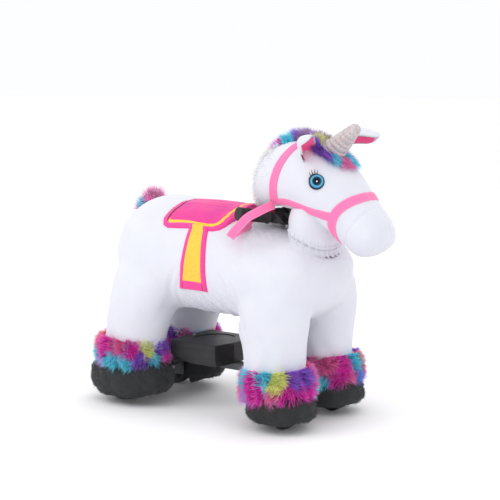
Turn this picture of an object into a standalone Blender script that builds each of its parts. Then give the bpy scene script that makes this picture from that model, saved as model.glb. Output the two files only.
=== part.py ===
"""A plush ride-on unicorn: stuffed body over a tube frame, four wheels hidden in plush hooves,
handlebar steering through a tie bar at the front, and a battery gearbox on the rear axle.
Metres. +X is forward, +Y the animal's left, +Z up, and the wheels stand on z = 0."""

from math import acos, asin, cos, pi, radians, sin, tau

import bmesh
import bpy
from mathutils import Vector

for leftover in list(bpy.data.objects):
    bpy.data.objects.remove(leftover, do_unlink=True)

X = Vector((1, 0, 0))
Y = Vector((0, 1, 0))
Z = Vector((0, 0, 1))

# Clearances, shared by every seat and bore
seat_gap = 0.0003
running_gap = 0.0004
swing_gap = 0.003
overrun = 0.006

# Torso, its length and the axles under it
torso_rear_x = -0.3465
torso_length = 0.594
front_axle_share = 0.88636
rear_axle_inset = 0.0395
front_axle_x = torso_rear_x + torso_length * front_axle_share
rear_axle_x = torso_rear_x + rear_axle_inset

# Wheels
kingpin_y = 0.104
rear_wheel_radius = 0.045
rear_wheel_width = 0.025
rear_wheel_hub_radius = 0.014
rear_wheel_rim_radius = 0.034
rear_wheel_dish = 0.005
front_wheel_radius = 0.026
front_wheel_width = 0.022
front_wheel_hub_radius = 0.010
front_wheel_dish = 0.003
wheel_edge = 0.003
rear_axle_radius = 0.005
axle_nut_radius = 0.009
axle_nut_width = 0.006
front_pin_radius = 0.004
front_pin_head = 0.007
front_pin_head_width = 0.002

# Torso's height and width
torso_base_z = 0.228
torso_height = 0.275
torso_half_width = 0.168
torso_fullness = 2.2
# Along, underside, back and half width of each section
torso_shares = (
    (0.000, 0.40, 0.57, 0.24),
    (0.018, 0.25, 0.74, 0.49),
    (0.058, 0.12, 0.87, 0.68),
    (0.125, 0.03, 0.96, 0.84),
    (0.215, 0.00, 1.00, 0.95),
    (0.331, 0.01, 0.958, 0.98),
    (0.460, 0.015, 0.942, 0.98),
    (0.560, 0.015, 0.925, 0.98),
    (0.650, 0.01, 0.88, 0.99),
    (0.725, 0.00, 0.81, 1.00),
    (0.795, 0.00, 0.765, 1.00),
    (0.860, 0.01, 0.735, 0.97),
    (0.917, 0.05, 0.68, 0.87),
    (0.969, 0.13, 0.60, 0.69),
    (0.992, 0.225, 0.515, 0.45),
    (1.000, 0.305, 0.435, 0.24),
)

# Handlebar hub, perched over the withers
column_back = 0.0625
column_x = front_axle_x - column_back
bar_perch_share = 0.774
bar_lift = 0.02715
bar_hub_z = torso_base_z + torso_height * bar_perch_share + bar_lift

# Head: each section runs from its upper edge point to its lower one
head_back = 0.070
head_rear_x = column_x - head_back
head_length = 0.346
head_drop = 0.079
head_base_z = bar_hub_z - head_drop
head_height = 0.263
head_half_width = 0.100
head_fullness = 2.1
head_shares = (
    ((0.040, 0.408), (0.190, 0.408), 0.44),
    ((0.006, 0.480), (0.250, 0.415), 0.68),
    ((0.009, 0.657), (0.318, 0.392), 0.88),
    ((0.062, 0.843), (0.412, 0.366), 0.98),
    ((0.185, 0.963), (0.497, 0.302), 1.00),
    ((0.355, 1.000), (0.577, 0.228), 0.99),
    ((0.511, 0.948), (0.634, 0.172), 0.95),
    ((0.648, 0.825), (0.676, 0.119), 0.87),
    ((0.761, 0.657), (0.710, 0.078), 0.77),
    ((0.852, 0.515), (0.739, 0.037), 0.69),
    ((0.926, 0.410), (0.776, 0.007), 0.65),
    ((0.983, 0.291), (0.827, 0.000), 0.59),
    ((1.000, 0.179), (0.886, 0.022), 0.42),
)

# Neck and its gathered ring
neck_along_share = 0.4162
neck_x = head_rear_x + head_length * neck_along_share
neck_length_share = 0.1214
neck_half_length = head_length * neck_length_share
neck_half_width = 0.066
neck_sink = 0.017
neck_rise = 0.116
neck_base_z = head_base_z - neck_sink
neck_top_z = head_base_z + neck_rise
neck_top_share = 0.86
gather_radius = 0.009
gather_rise = 0.045
gather_z = head_base_z + gather_rise
gather_tilt = 0.004

# Legs: half length, half width, inward shift and lean of each section, from the hoof up
leg_y = 0.100
front_hoof_back = 0.0065
rear_hoof_forward = 0.0315
front_leg_back = 0.0285
rear_leg_forward = 0.0335
front_hoof_x = front_axle_x - front_hoof_back
rear_hoof_x = rear_axle_x + rear_hoof_forward
front_leg_x = front_axle_x - front_leg_back
rear_leg_x = rear_axle_x + rear_leg_forward
rear_leg_lean = 0.052
front_leg_half_length = 0.087
rear_leg_half_length = 0.099
leg_half_width = 0.074
front_leg_top_share = 0.5527
rear_leg_top_share = 0.5964
front_leg_top_z = torso_base_z + torso_height * front_leg_top_share
rear_leg_top_z = torso_base_z + torso_height * rear_leg_top_share
leg_inset = 0.024
leg_shares = (
    (0.00, 0.82, 0.89, 0.0, 0.0),
    (0.20, 0.86, 0.92, 0.0, 0.14),
    (0.38, 0.92, 0.96, 0.0, 0.42),
    (0.55, 1.00, 1.00, 0.0, 0.78),
    (0.74, 0.99, 0.97, 0.1, 1.0),
    (0.90, 0.82, 0.78, 0.6, 1.0),
    (1.00, 0.46, 0.42, 1.0, 1.0),
)

# Hooves and fur cuffs
hoof_base_z = 0.021
hoof_wall = 0.008
hoof_crown = 0.007
front_hoof_top_z = 0.086
front_hoof_half_length = 0.083
front_hoof_half_width = 0.080
rear_hoof_top_z = 0.106
rear_hoof_half_length = 0.118
rear_hoof_half_width = 0.082
front_hoof_y = 0.102
rear_hoof_y = 0.104
hoof_shares = ((0.0, 0.84), (0.24, 1.0), (0.70, 0.97), (1.0, 0.80))
cuff_swell_shares = ((0.0, 0.90), (0.30, 1.0), (0.78, 0.96), (1.0, 0.80))
cuff_overlap = 0.014
front_cuff_height = 0.066
rear_cuff_height = 0.062
front_cuff_half_length = 0.097
front_cuff_half_width = 0.092
rear_cuff_half_length = 0.103
rear_cuff_half_width = 0.090

# Tube frame
tube_radius = 0.0125
tube_bore_radius = 0.0105
hoop_crown_share = 0.5891
hoop_crown_z = torso_base_z + torso_height * hoop_crown_share
hoop_bend = 0.050
rear_hoop_y = 0.078
rear_hoop_x = rear_hoof_x
spine_radius = 0.0112
sleeve_radius = 0.015
sleeve_height = 0.034
board_front_share = 0.5623
board_front_x = torso_rear_x + torso_length * board_front_share
board_length = 0.180
board_half_width = 0.070
board_thickness = 0.012
stem_radius = 0.010
stem_lean = 0.006
stem_foot_x = neck_x - stem_lean
stem_head_x = neck_x + stem_lean
stem_head_share = 0.650
stem_head_z = head_base_z + head_height * stem_head_share
stem_plate_radius = 0.040
stem_plate_thickness = 0.004

# Lower chassis
beam_half_width = 0.015
beam_height = 0.016
beam_base_z = 0.0927
crossbar_half_width = 0.010
collar_wall = 0.004
bracket_thickness = 0.008
bracket_half_length = 0.022
bracket_foot = 0.013
bracket_cup_wall = 0.0035
bracket_cup_height = 0.030

# Battery box
box_forward = 0.100
box_rear_x = rear_hoof_x + box_forward
box_length = 0.150
box_half_width = 0.080
box_height = 0.051
box_wall = 0.003
box_lid_height = 0.015
box_rear_rise = 0.017
box_rear_cut = 0.063
# Outline of one side, from the rear to the rounded front
box_outline_shares = (
    (0.0, 0.0), (0.0, 0.90), (0.03, 1.0), (0.50, 1.0), (0.86, 1.0), (0.915, 0.95), (0.965, 0.62), (1.0, 0.22),
)
lid_dish_depth = 0.0018
lid_dish_half_length = 0.048
lid_dish_half_width = 0.058
battery_inset = 0.018
battery_length = box_length - box_rear_cut - battery_inset * 3 / 2
battery_width = 0.100
battery_height = 0.040
terminal_radius = 0.004
terminal_height = 0.003
screw_radius = 0.0045
screw_shank_radius = 0.002
screw_head_height = 0.0022
screw_share = 0.09
screw_crown_share = 0.7
switch_share = 0.22
switch_x = box_rear_x + box_length * switch_share
switch_length = 0.016
switch_height = 0.011
switch_depth = 0.006
switch_room = 0.0012
switch_pin_radius = 0.001
switch_pin_depth = 0.0015
socket_share = 0.52
socket_x = box_rear_x + box_length * socket_share
socket_radius = 0.006
socket_bore_radius = 0.003
socket_length = 0.009
socket_rim = 0.0025

# Steering
column_radius = 0.008
arm_length = 0.040
arm_base_z = 0.0600
arm_thickness = 0.0065
arm_half_width = 0.009
link_pin_radius = 0.004
link_thickness = 0.006
link_half_width = 0.008
bar_hub_radius = 0.017
bar_hub_half_height = 0.013
bar_sweep = radians(24)
bar_rise = 0.017
bar_reach = 0.129
wing_reach = 0.052
wing_half_height = 0.011
wing_half_depth = 0.010
wing_tip_share = 0.9
wing_fullness = 3.0
bar_core_radius = 0.0068
grip_radius = 0.0142
grip_tip_radius = 0.0155
grip_end_cap = 0.004
button_radius = 0.0065
button_reach = 0.040
button_height = 0.009
button_proud = 0.003
button_travel = 0.0025
steer_swing = radians(18)

# Fork
fork_stem_height = 0.052
fork_cheek_thickness = 0.004
fork_cheek_half_length = 0.010
fork_side_gap = 0.0015
fork_plate_radius = 0.016

# Gears and motor
gear_module = 0.002
gear_teeth = 30
pinion_teeth = 10
addendum_share = 0.85
dedendum_share = 1.25
tooth_tip_share = 0.22
tooth_root_share = 0.52
mesh_slack = 0.0003
tooth_crease = radians(20)
gear_width = 0.008
gear_y = -0.008
mesh_angle = radians(27)
housing_wall = 0.003
housing_room = 0.0022
motor_radius = 0.014
motor_length = 0.038
motor_shaft_radius = 0.0016
motor_boss_radius = 0.006
motor_boss_length = 0.003
motor_edge = 0.002

# Saddle, stirrup flaps, bridle and reins
saddle_thickness = 0.012
saddle_edge_thickness = 0.006
saddle_rear_share = 0.314
saddle_rear_x = torso_rear_x + torso_length * saddle_rear_share
saddle_length_share = 0.310
saddle_length = torso_length * saddle_length_share
saddle_half_width = 0.140
saddle_outline_shares = (
    (0.00, 0.88), (0.03, 0.96), (0.12, 1.0), (0.45, 0.97), (0.73, 0.97), (0.84, 0.92), (0.91, 0.80),
    (0.96, 0.60), (1.00, 0.34),
)
saddle_rise = 0.018
saddle_rise_share = 0.8
saddle_side_share = 0.5
saddle_end_share = 0.3
flap_thickness = 0.005
flap_top_share = 0.499
flap_foot_share = 0.51515
flap_top_x = torso_rear_x + torso_length * flap_top_share
flap_foot_x = torso_rear_x + torso_length * flap_foot_share
flap_top_half_width = 0.028
flap_foot_half_width = 0.040
flap_foot_rise_share = 0.27636
flap_foot_z = torso_base_z + torso_height * flap_foot_rise_share
strap_width = 0.021
strap_thickness = 0.0025
strap_sink = 0.006
cheek_thickness_share = 0.9
crown_thickness_share = 1.1
# Places on the head: how far along its sections, and the turn round them
noseband_mid_share = 0.645
noseband_lean_share = 0.090
junction_along_share = 0.165
junction_turn = radians(-32)
# Share along and turn in degrees
cheek_shares = ((0.165, -32), (0.26, -36), (0.37, -37), (0.50, -27), (0.63, -8))
crown_route_shares = (
    (0.0, 0.165), (0.09, 0.21), (0.28, 0.30), (0.46, 0.35), (0.64, 0.38), (0.84, 0.395), (1.0, 0.405),
)
rein_out = 0.166
rein_drop = 0.023
rein_low_z = bar_hub_z - rein_drop
rein_low_back = 0.044
rein_low_x = column_x - rein_low_back
rein_hook = 0.015
rein_back_x = rein_low_x - rein_hook
rein_hem = 0.0022
# Along from the junction to the low point, outwards, and down
rein_fall_shares = (
    (0.00, 0.06, -0.02), (0.02, 0.42, 0.10), (0.16, 0.80, 0.28), (0.42, 0.98, 0.54), (0.74, 1.0, 0.82),
)
rein_return_shares = ((0.80, 0.82), (0.62, 0.66), (0.44, 0.46), (0.20, 0.22), (0.0, 0.0))
rein_width = 0.020
rein_thickness = 0.002

# Ears, horn, eyes, fur
ear_root_shares = (0.4393, 0.62, 0.8669)
ear_forward = 0.088
ear_outward = 0.076
ear_lift = 0.052
ear_path_shares = ((0.0, 0.0, 0.0), (0.10, 0.14, 0.52), (0.34, 0.42, 1.0), (0.68, 0.76, 0.98), (1.0, 1.0, 0.62))
ear_half_width = 0.029
ear_width_shares = (0.86, 1.0, 0.96, 0.74, 0.16)
ear_thickness = 0.009
ear_curl = 0.010
ear_face_shares = (-0.45, 0.50, 0.75)
ear_thinning_share = 0.6
ear_room_width_share = 1.04
ear_room_share = 1.3
horn_foot_shares = (0.5549, 0.0, 0.8403)
horn_forward = 0.060
horn_rise = 0.070
horn_foot_radius = 0.027
horn_tip_radius = 0.009
horn_ridge_count = 5
horn_ridge_share = 0.06
eye_radius = 0.017
eye_depth = 0.007
eye_along_share = 0.546
eye_shares = ((1.0, -1.0), (1.0, 0.33), (0.82, 0.70), (0.45, 0.95))
eye_turn = radians(24)
mane_half_width = 0.026
mane_height = 0.040
mane_shares = (
    (0.02, 0.34, 0.46), (0.09, 0.36, 0.56), (0.17, 0.42, 0.64), (0.25, 0.58, 0.78),
    (0.31, 0.78, 0.92), (0.355, 0.96, 1.0), (0.385, 1.0, 1.0),
)
forelock_half_width = 0.044
forelock_height = 0.044
forelock_shares = (
    (0.415, 1.0, 0.72), (0.44, 0.94, 0.84), (0.49, 0.66, 1.0), (0.54, 0.42, 0.88), (0.575, 0.26, 0.62),
)
tail_inset = 0.028
tail_rise_share = 0.80727
tail_root_z = torso_base_z + torso_height * tail_rise_share
tail_lean = 0.020
tail_rise = 0.066
tail_radius = 0.038
tail_shares = ((0.0, 0.40), (0.18, 0.74), (0.42, 1.0), (0.68, 0.98), (0.88, 0.70), (1.0, 0.30))

# Leads
lead_radius = 0.0028
lead_clear = 0.006
lead_backs = (0.003, 0.006, 0.024, 0.036, 0.054)
lead_sags = (0.003, 0.006, 0.012)
lead_end_back = 0.018
lead_end_out = 0.009

# Facet counts
body_sides = 20
head_sides = 20
leg_sides = 14
tube_sides = 8
pin_sides = 10
round_sides = 12
wheel_sides = 18
small_wheel_sides = 16
lead_sides = 6
hoop_bend_steps = 3
route_steps = 2
saddle_steps = 10
flap_steps = 15
noseband_steps = 16
crown_steps = 12
ear_steps = 6


def paint(name, colour, roughness, metallic=0.0):
    """A plain Principled material."""
    material = bpy.data.materials.new(name)
    material.use_nodes = True
    shader = material.node_tree.nodes["Principled BSDF"]
    shader.inputs["Base Color"].default_value = (*colour, 1)
    shader.inputs["Roughness"].default_value = roughness
    shader.inputs["Metallic"].default_value = metallic
    return material


WHITE_PLUSH = (0.90, 0.90, 0.95)
WEBBING_PINK = (0.95, 0.16, 0.42)
SADDLE_PINK = (0.86, 0.07, 0.36)
CHARCOAL = (0.045, 0.047, 0.050)
BLACK_PLASTIC = (0.018, 0.018, 0.020)
FUR_MAGENTA = (0.62, 0.10, 0.62)
STEEL = (0.55, 0.56, 0.58)
FRAME_GREY = (0.12, 0.13, 0.14)
BIRCH = (0.72, 0.55, 0.36)
NYLON = (0.85, 0.85, 0.80)
BUTTON_RED = (0.30, 0.02, 0.05)
BATTERY_GREY = (0.10, 0.11, 0.13)
HORN_PEARL = (0.80, 0.78, 0.80)
EYE_BLUE = (0.02, 0.10, 0.22)


def finish(name, bm, colour, roughness, metallic=0.0, smooth=radians(40), pivot=Vector()):
    """Makes a bmesh into a named piece with its own material and its origin at pivot."""
    bmesh.ops.recalc_face_normals(bm, faces=bm.faces)
    bmesh.ops.translate(bm, verts=bm.verts, vec=-pivot)
    mesh = bpy.data.meshes.new(name)
    bm.to_mesh(mesh)
    bm.free()
    mesh.shade_smooth()
    mesh.set_sharp_from_angle(angle=smooth)
    piece = bpy.data.objects.new(name, mesh)
    piece.location = pivot
    bpy.context.scene.collection.objects.link(piece)
    mesh.materials.append(paint(name, colour, roughness, metallic))
    return piece


def guide(bm):
    """Makes a bmesh into a hidden shape that Boolean modifiers use."""
    bmesh.ops.recalc_face_normals(bm, faces=bm.faces)
    mesh = bpy.data.meshes.new("guide")
    bm.to_mesh(mesh)
    bm.free()
    shape = bpy.data.objects.new("guide", mesh)
    bpy.context.scene.collection.objects.link(shape)
    shape.hide_render = True
    shape.display_type = "WIRE"
    return shape


def modify(piece, operation, *shapes):
    for shape in shapes:
        boolean = piece.modifiers.new(operation.lower(), "BOOLEAN")
        boolean.operation = operation
        boolean.solver = "EXACT"
        boolean.object = shape
    return piece


def use_manifold(piece):
    """For closed shapes whose faces meet too closely for the exact solver."""
    for modifier in piece.modifiers:
        if modifier.type == "BOOLEAN":
            modifier.solver = "MANIFOLD"


def cut(piece, *shapes):
    return modify(piece, "DIFFERENCE", *shapes)


def join(piece, *shapes):
    return modify(piece, "UNION", *shapes)


def edge_round(piece, width, segments=2):
    bevel = piece.modifiers.new("edges", "BEVEL")
    bevel.width = width
    bevel.segments = segments
    bevel.limit_method = "ANGLE"
    return piece


def signed_power(value, power):
    return abs(value) ** power * (1 if value >= 0 else -1)


def rounded(centre, side, up, half_side, half_up, count, fullness=2.0):
    """Points of a rounded outline round centre; fullness 2 is an ellipse, more is squarer."""
    power = 2 / fullness
    points = []
    for step in range(count):
        turn = tau * step / count
        across = half_side * signed_power(cos(turn), power)
        rise = half_up * signed_power(sin(turn), power)
        points.append(centre + side * across + up * rise)
    return points


def lofted(rings, looped=False):
    """A closed skin over rings of equally many points."""
    bm = bmesh.new()
    loops = [[bm.verts.new(point) for point in ring] for ring in rings]
    pairs = list(zip(loops, loops[1:]))
    if looped:
        pairs.append((loops[-1], loops[0]))
    for first, second in pairs:
        for here in range(len(first)):
            after = (here + 1) % len(first)
            bm.faces.new((first[here], first[after], second[after]))
            bm.faces.new((first[here], second[after], second[here]))
    if not looped:
        bm.faces.new(loops[0])
        bm.faces.new(loops[-1])
    return bm


def block(low, high):
    bm = bmesh.new()
    bmesh.ops.create_cube(bm, size=1)
    low, high = Vector(low), Vector(high)
    for vert in bm.verts:
        share = vert.co + (X + Y + Z) / 2
        vert.co = low + share * (high - low)
    return bm


def hull_of(points):
    """The convex solid round a set of points."""
    bm = bmesh.new()
    for point in points:
        bm.verts.new(point)
    hull = bmesh.ops.convex_hull(bm, input=bm.verts)
    loose = set(hull["geom_interior"] + hull["geom_unused"])
    spare = [item for item in loose if isinstance(item, bmesh.types.BMVert)]
    bmesh.ops.delete(bm, geom=spare, context="VERTS")
    return bm


def frame_of(axis):
    """Two unit vectors square to axis and to each other."""
    axis = Vector(axis).normalized()
    side = (Y if abs(axis.y) < abs(axis.x) or abs(axis.z) > abs(axis.y) else X).cross(axis)
    side.normalize()
    return axis, side, axis.cross(side)


def turned(centre, axis, profile, sides=round_sides):
    """A solid turned round axis from (radius, height) pairs along it."""
    axis, side, up = frame_of(axis)
    centre = Vector(centre)
    rings = [rounded(centre + axis * height, side, up, radius, radius, sides) for radius, height in profile]
    return lofted(rings)


def rod(start, end, radius, sides=round_sides, end_radius=None):
    start, end = Vector(start), Vector(end)
    reach = (end - start).length
    profile = ((radius, 0), (radius if end_radius is None else end_radius, reach))
    return turned(start, end - start, profile, sides)


def rail(points):
    """Tangents and steady side vectors along a route."""
    tangents = []
    for place, _ in enumerate(points):
        before = points[max(place - 1, 0)]
        after = points[min(place + 1, len(points) - 1)]
        tangents.append((after - before).normalized())
    _, side, _ = frame_of(tangents[0])
    sides = []
    for tangent in tangents:
        side = (side - tangent * side.dot(tangent)).normalized()
        sides.append(side)
    return tangents, sides


def tube(points, radius, bore=None, sides=tube_sides):
    """A bent tube, hollow from end to end where bore is given."""
    points = [Vector(point) for point in points]
    tangents, across = rail(points)

    def rings(size):
        return [
            rounded(point, side, tangent.cross(side), size, size, sides)
            for point, tangent, side in zip(points, tangents, across)
        ]

    if bore is None:
        return lofted(rings(radius))
    return lofted(rings(radius) + rings(bore)[::-1], looped=True)


def smooth_route(points, steps):
    """A Catmull-Rom curve through hand-chosen points."""
    ends = [points[0] * 2 - points[1], *points, points[-1] * 2 - points[-2]]
    route = []
    for a, b, c, d in zip(ends, ends[1:], ends[2:], ends[3:]):
        for step in range(steps):
            t = step / steps
            bend = a * 2 - b * 5 + c * 4 - d
            twist = b * 3 - a - c * 3 + d
            route.append((b * 2 + (c - a) * t + bend * t**2 + twist * t**3) / 2)
    return [*route, points[-1]]


def between(rows, along):
    """Reads a table of (place, values...) rows at a place."""
    for low, high in zip(rows, rows[1:]):
        if along <= high[0]:
            break
    share = min(max((along - low[0]) / (high[0] - low[0]), 0), 1)
    return [a + (b - a) * share for a, b in zip(low[1:], high[1:])]


# Torso shapes
def torso_section(x):
    """Middle height, half height and half width of the torso at x."""
    low, high, wide = between(torso_shares, (x - torso_rear_x) / torso_length)
    middle = torso_base_z + torso_height * (low + high) / 2
    return middle, torso_height * (high - low) / 2, torso_half_width * wide


def torso_skin(x, turn, out=0.0):
    """A point on the torso's side at x, turned from +Y up over the back."""
    middle, half_height, half_width = torso_section(x)
    power = 2 / torso_fullness
    y = (half_width + out) * signed_power(cos(turn), power)
    z = middle + (half_height + out) * signed_power(sin(turn), power)
    return Vector((x, y, z))


def torso_turn_at_width(x, width):
    _, _, half_width = torso_section(x)
    return acos(min(width / half_width, 1) ** (torso_fullness / 2))


def torso_turn_at_height(x, z):
    middle, half_height, _ = torso_section(x)
    share = (z - middle) / half_height
    return asin(signed_power(share, torso_fullness / 2))


def torso_solid(out=0.0):
    rings = []
    for along, low, high, wide in torso_shares:
        end_shift = out if along == torso_shares[-1][0] else -out if along == 0 else 0
        x = torso_rear_x + torso_length * along + end_shift
        centre = Vector((x, 0, torso_base_z + torso_height * (low + high) / 2))
        half_width = torso_half_width * wide + out
        half_height = torso_height * (high - low) / 2 + out
        rings.append(rounded(centre, Y, Z, half_width, half_height, body_sides, torso_fullness))
    return lofted(rings)


# Head shapes
def head_point(shares):
    """A point of the head's middle plane from its shares of the length and the height."""
    return Vector((head_rear_x + head_length * shares[0], 0, head_base_z + head_height * shares[1]))


def head_place(shares):
    """A point on the head from its shares of the length, half width and height."""
    return head_point((shares[0], shares[2])) + Y * head_half_width * shares[1]


def head_section(along):
    """Centre, half vector to the upper edge, and half width of the head at a share of its sections."""
    place = min(max(along, 0), 1) * (len(head_shares) - 1)
    first = min(int(place), len(head_shares) - 2)
    share = place - first
    upper, lower, wide = head_shares[first]
    next_upper, next_lower, next_wide = head_shares[first + 1]
    top = head_point(Vector((*upper, 0)).lerp(Vector((*next_upper, 0)), share))
    bottom = head_point(Vector((*lower, 0)).lerp(Vector((*next_lower, 0)), share))
    return (top + bottom) / 2, (top - bottom) / 2, head_half_width * (wide + (next_wide - wide) * share)


def head_skin(along, turn, out=0.0):
    centre, half_up, half_width = head_section(along)
    power = 2 / head_fullness
    rise = half_up.normalized() * (half_up.length + out) * signed_power(sin(turn), power)
    return centre + Y * (half_width + out) * signed_power(cos(turn), power) + rise


def head_normal(along, turn):
    """Roughly outwards from the head's skin."""
    step = 1 / len(head_shares) / 2
    forward = head_skin(min(along + step, 1), turn) - head_skin(max(along - step, 0), turn)
    round_it = head_skin(along, turn + step) - head_skin(along, turn - step)
    normal = round_it.cross(forward).normalized()
    centre, _, _ = head_section(along)
    return normal if normal.dot(head_skin(along, turn) - centre) > 0 else -normal


def head_solid(out=0.0):
    rings = []
    last = len(head_shares) - 1
    for place in range(len(head_shares)):
        centre, half_up, half_width = head_section(place / last)
        up = half_up.normalized()
        if place == 0:
            centre -= Z * out
        if place == last:
            centre += Y.cross(up) * out
        half_rise = half_up.length + out
        rings.append(rounded(centre, Y, up, half_width + out, half_rise, head_sides, head_fullness))
    return lofted(rings)


# Leg, hoof and cuff shapes
def leg_solid(side, x, base_z, top_z, half_length, lean, out=0.0):
    rings = []
    for rise, long, wide, inset, forward in leg_shares:
        end_shift = -out if rise == 0 else out if rise == 1 else 0
        z = base_z + (top_z - base_z) * rise + end_shift
        centre = Vector((x + lean * forward, side * (leg_y - leg_inset * inset), z))
        rings.append(rounded(centre, X, Y, half_length * long + out, leg_half_width * wide + out, leg_sides))
    return lofted(rings)


def swelled(side, x, y, low, high, half_length, half_width, shares, out=0.0):
    """An upright form whose outline swells and tapers by shares."""
    rings = []
    for rise, wide in shares:
        end_shift = -out if rise == 0 else out if rise == 1 else 0
        centre = Vector((x, side * y, low + (high - low) * rise + end_shift))
        rings.append(rounded(centre, X, Y, half_length * wide + out, half_width * wide + out, leg_sides))
    return lofted(rings)


class Corner:
    """The sizes of one of the four feet."""

    def __init__(self, name, side, front):
        self.name = name
        self.side = side
        self.front = front
        self.x = front_hoof_x if front else rear_hoof_x
        self.leg_x = front_leg_x if front else rear_leg_x
        self.hoof_top = front_hoof_top_z if front else rear_hoof_top_z
        self.hoof_y = front_hoof_y if front else rear_hoof_y
        self.hoof_half_length = front_hoof_half_length if front else rear_hoof_half_length
        self.hoof_half_width = front_hoof_half_width if front else rear_hoof_half_width
        self.cuff_half_length = front_cuff_half_length if front else rear_cuff_half_length
        self.cuff_half_width = front_cuff_half_width if front else rear_cuff_half_width
        self.cuff_height = front_cuff_height if front else rear_cuff_height
        self.leg_top = front_leg_top_z if front else rear_leg_top_z
        self.leg_half_length = front_leg_half_length if front else rear_leg_half_length
        self.lean = 0 if front else rear_leg_lean

    def leg(self, out=0.0):
        low = self.hoof_top + seat_gap
        return leg_solid(self.side, self.leg_x, low, self.leg_top, self.leg_half_length, self.lean, out)

    def hoof(self, out=0.0):
        return swelled(
            self.side, self.x, self.hoof_y, hoof_base_z, self.hoof_top, self.hoof_half_length,
            self.hoof_half_width, hoof_shares, out,
        )

    def hoof_room(self):
        """The hollow that the wheel turns in, open at the bottom."""
        rings = []
        for rise, wide in hoof_shares:
            z = hoof_base_z + (self.hoof_top - hoof_crown - hoof_base_z) * rise
            z -= overrun if rise == 0 else 0
            centre = Vector((self.x, self.side * self.hoof_y, z))
            long = self.hoof_half_length * wide - hoof_wall
            across = self.hoof_half_width * wide - hoof_wall
            rings.append(rounded(centre, X, Y, long, across, leg_sides))
        return lofted(rings)

    def cuff(self):
        low = self.hoof_top - cuff_overlap
        return swelled(
            self.side, (self.x + self.leg_x) / 2, self.hoof_y, low, low + self.cuff_height,
            self.cuff_half_length, self.cuff_half_width, cuff_swell_shares,
        )


corners = [
    Corner("front_left", 1, True),
    Corner("front_right", -1, True),
    Corner("rear_left", 1, False),
    Corner("rear_right", -1, False),
]


# Frame routes
def hoop_route(x, y, foot_z):
    """Up one side, over the crown and down the other."""
    route = []
    for side in (1, -1):
        bend = []
        for step in range(hoop_bend_steps + 1):
            turn = pi / 2 * step / hoop_bend_steps
            out_y = y - hoop_bend + hoop_bend * cos(turn)
            bend.append(Vector((x, side * out_y, hoop_crown_z - hoop_bend + hoop_bend * sin(turn))))
        leg = [Vector((x, side * y, foot_z)), *bend]
        route += leg if side > 0 else leg[::-1]
    return route


plate_top_z = arm_base_z + arm_thickness
front_foot_z = plate_top_z + seat_gap
fork_stem_radius = tube_bore_radius * cos(pi / tube_sides) - running_gap
beam_top_z = beam_base_z + beam_height
rear_foot_z = beam_top_z + seat_gap
front_hoop_route = hoop_route(front_axle_x, kingpin_y, front_foot_z)
rear_hoop_route = hoop_route(rear_hoop_x, rear_hoop_y, rear_foot_z)
front_hoop_room = guide(tube(front_hoop_route, tube_radius + seat_gap))
rear_hoop_room = guide(tube(rear_hoop_route, tube_radius + seat_gap))

finish("front_leg_hoop", tube(front_hoop_route, tube_radius, tube_bore_radius), FRAME_GREY, 0.45, 0.6)
finish("rear_leg_hoop", tube(rear_hoop_route, tube_radius, tube_bore_radius), FRAME_GREY, 0.45, 0.6)

spine_start = Vector((rear_hoop_x + tube_radius / 4, 0, hoop_crown_z))
spine_end = Vector((front_axle_x - tube_radius / 4, 0, hoop_crown_z))
sleeve_low = hoop_crown_z - sleeve_height / 2
column_bore = guide(
    rod((column_x, 0, beam_base_z - overrun), (column_x, 0, bar_hub_z), column_radius + running_gap)
)
spine = finish("spine_tube", rod(spine_start, spine_end, spine_radius, tube_sides), FRAME_GREY, 0.45, 0.6)
join(spine, guide(rod((column_x, 0, sleeve_low), (column_x, 0, sleeve_low + sleeve_height), sleeve_radius)))
cut(spine, front_hoop_room, rear_hoop_room, column_bore)
use_manifold(spine)
spine_room = guide(rod(spine_start, spine_end, spine_radius + seat_gap, tube_sides))
sleeve_room = guide(
    rod(
        (column_x, 0, sleeve_low - seat_gap), (column_x, 0, sleeve_low + sleeve_height + seat_gap),
        sleeve_radius + seat_gap,
    )
)

board_low = hoop_crown_z + spine_radius + seat_gap
board_high = board_low + board_thickness
board_corner_low = Vector((board_front_x - board_length, -board_half_width, board_low))
board_corner_high = Vector((board_front_x, board_half_width, board_high))
seat_board = finish("seat_board", block(board_corner_low, board_corner_high), BIRCH, 0.6)
edge_round(seat_board, board_thickness / 4, 1)
gap_corner = (X + Y + Z) * seat_gap
board_room = guide(block(board_corner_low - gap_corner, board_corner_high + gap_corner))

# Head stem: a post on the front hoop with a round plate inside the head
stem_foot = Vector((stem_foot_x, 0, hoop_crown_z))
stem_top = Vector((stem_head_x, 0, stem_head_z))


def stem_solid(out=0.0):
    post = rod(stem_foot, stem_top, stem_radius + out, tube_sides)
    plate = rod(stem_top - Z * out, stem_top + Z * (stem_plate_thickness + out), stem_plate_radius + out)
    return post, plate


stem_post, stem_plate = stem_solid()
neck_stem = finish("neck_stem", stem_post, FRAME_GREY, 0.45, 0.6)
join(neck_stem, guide(stem_plate))
cut(neck_stem, front_hoop_room, spine_room)
stem_room = [guide(shape) for shape in stem_solid(seat_gap)]

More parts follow.
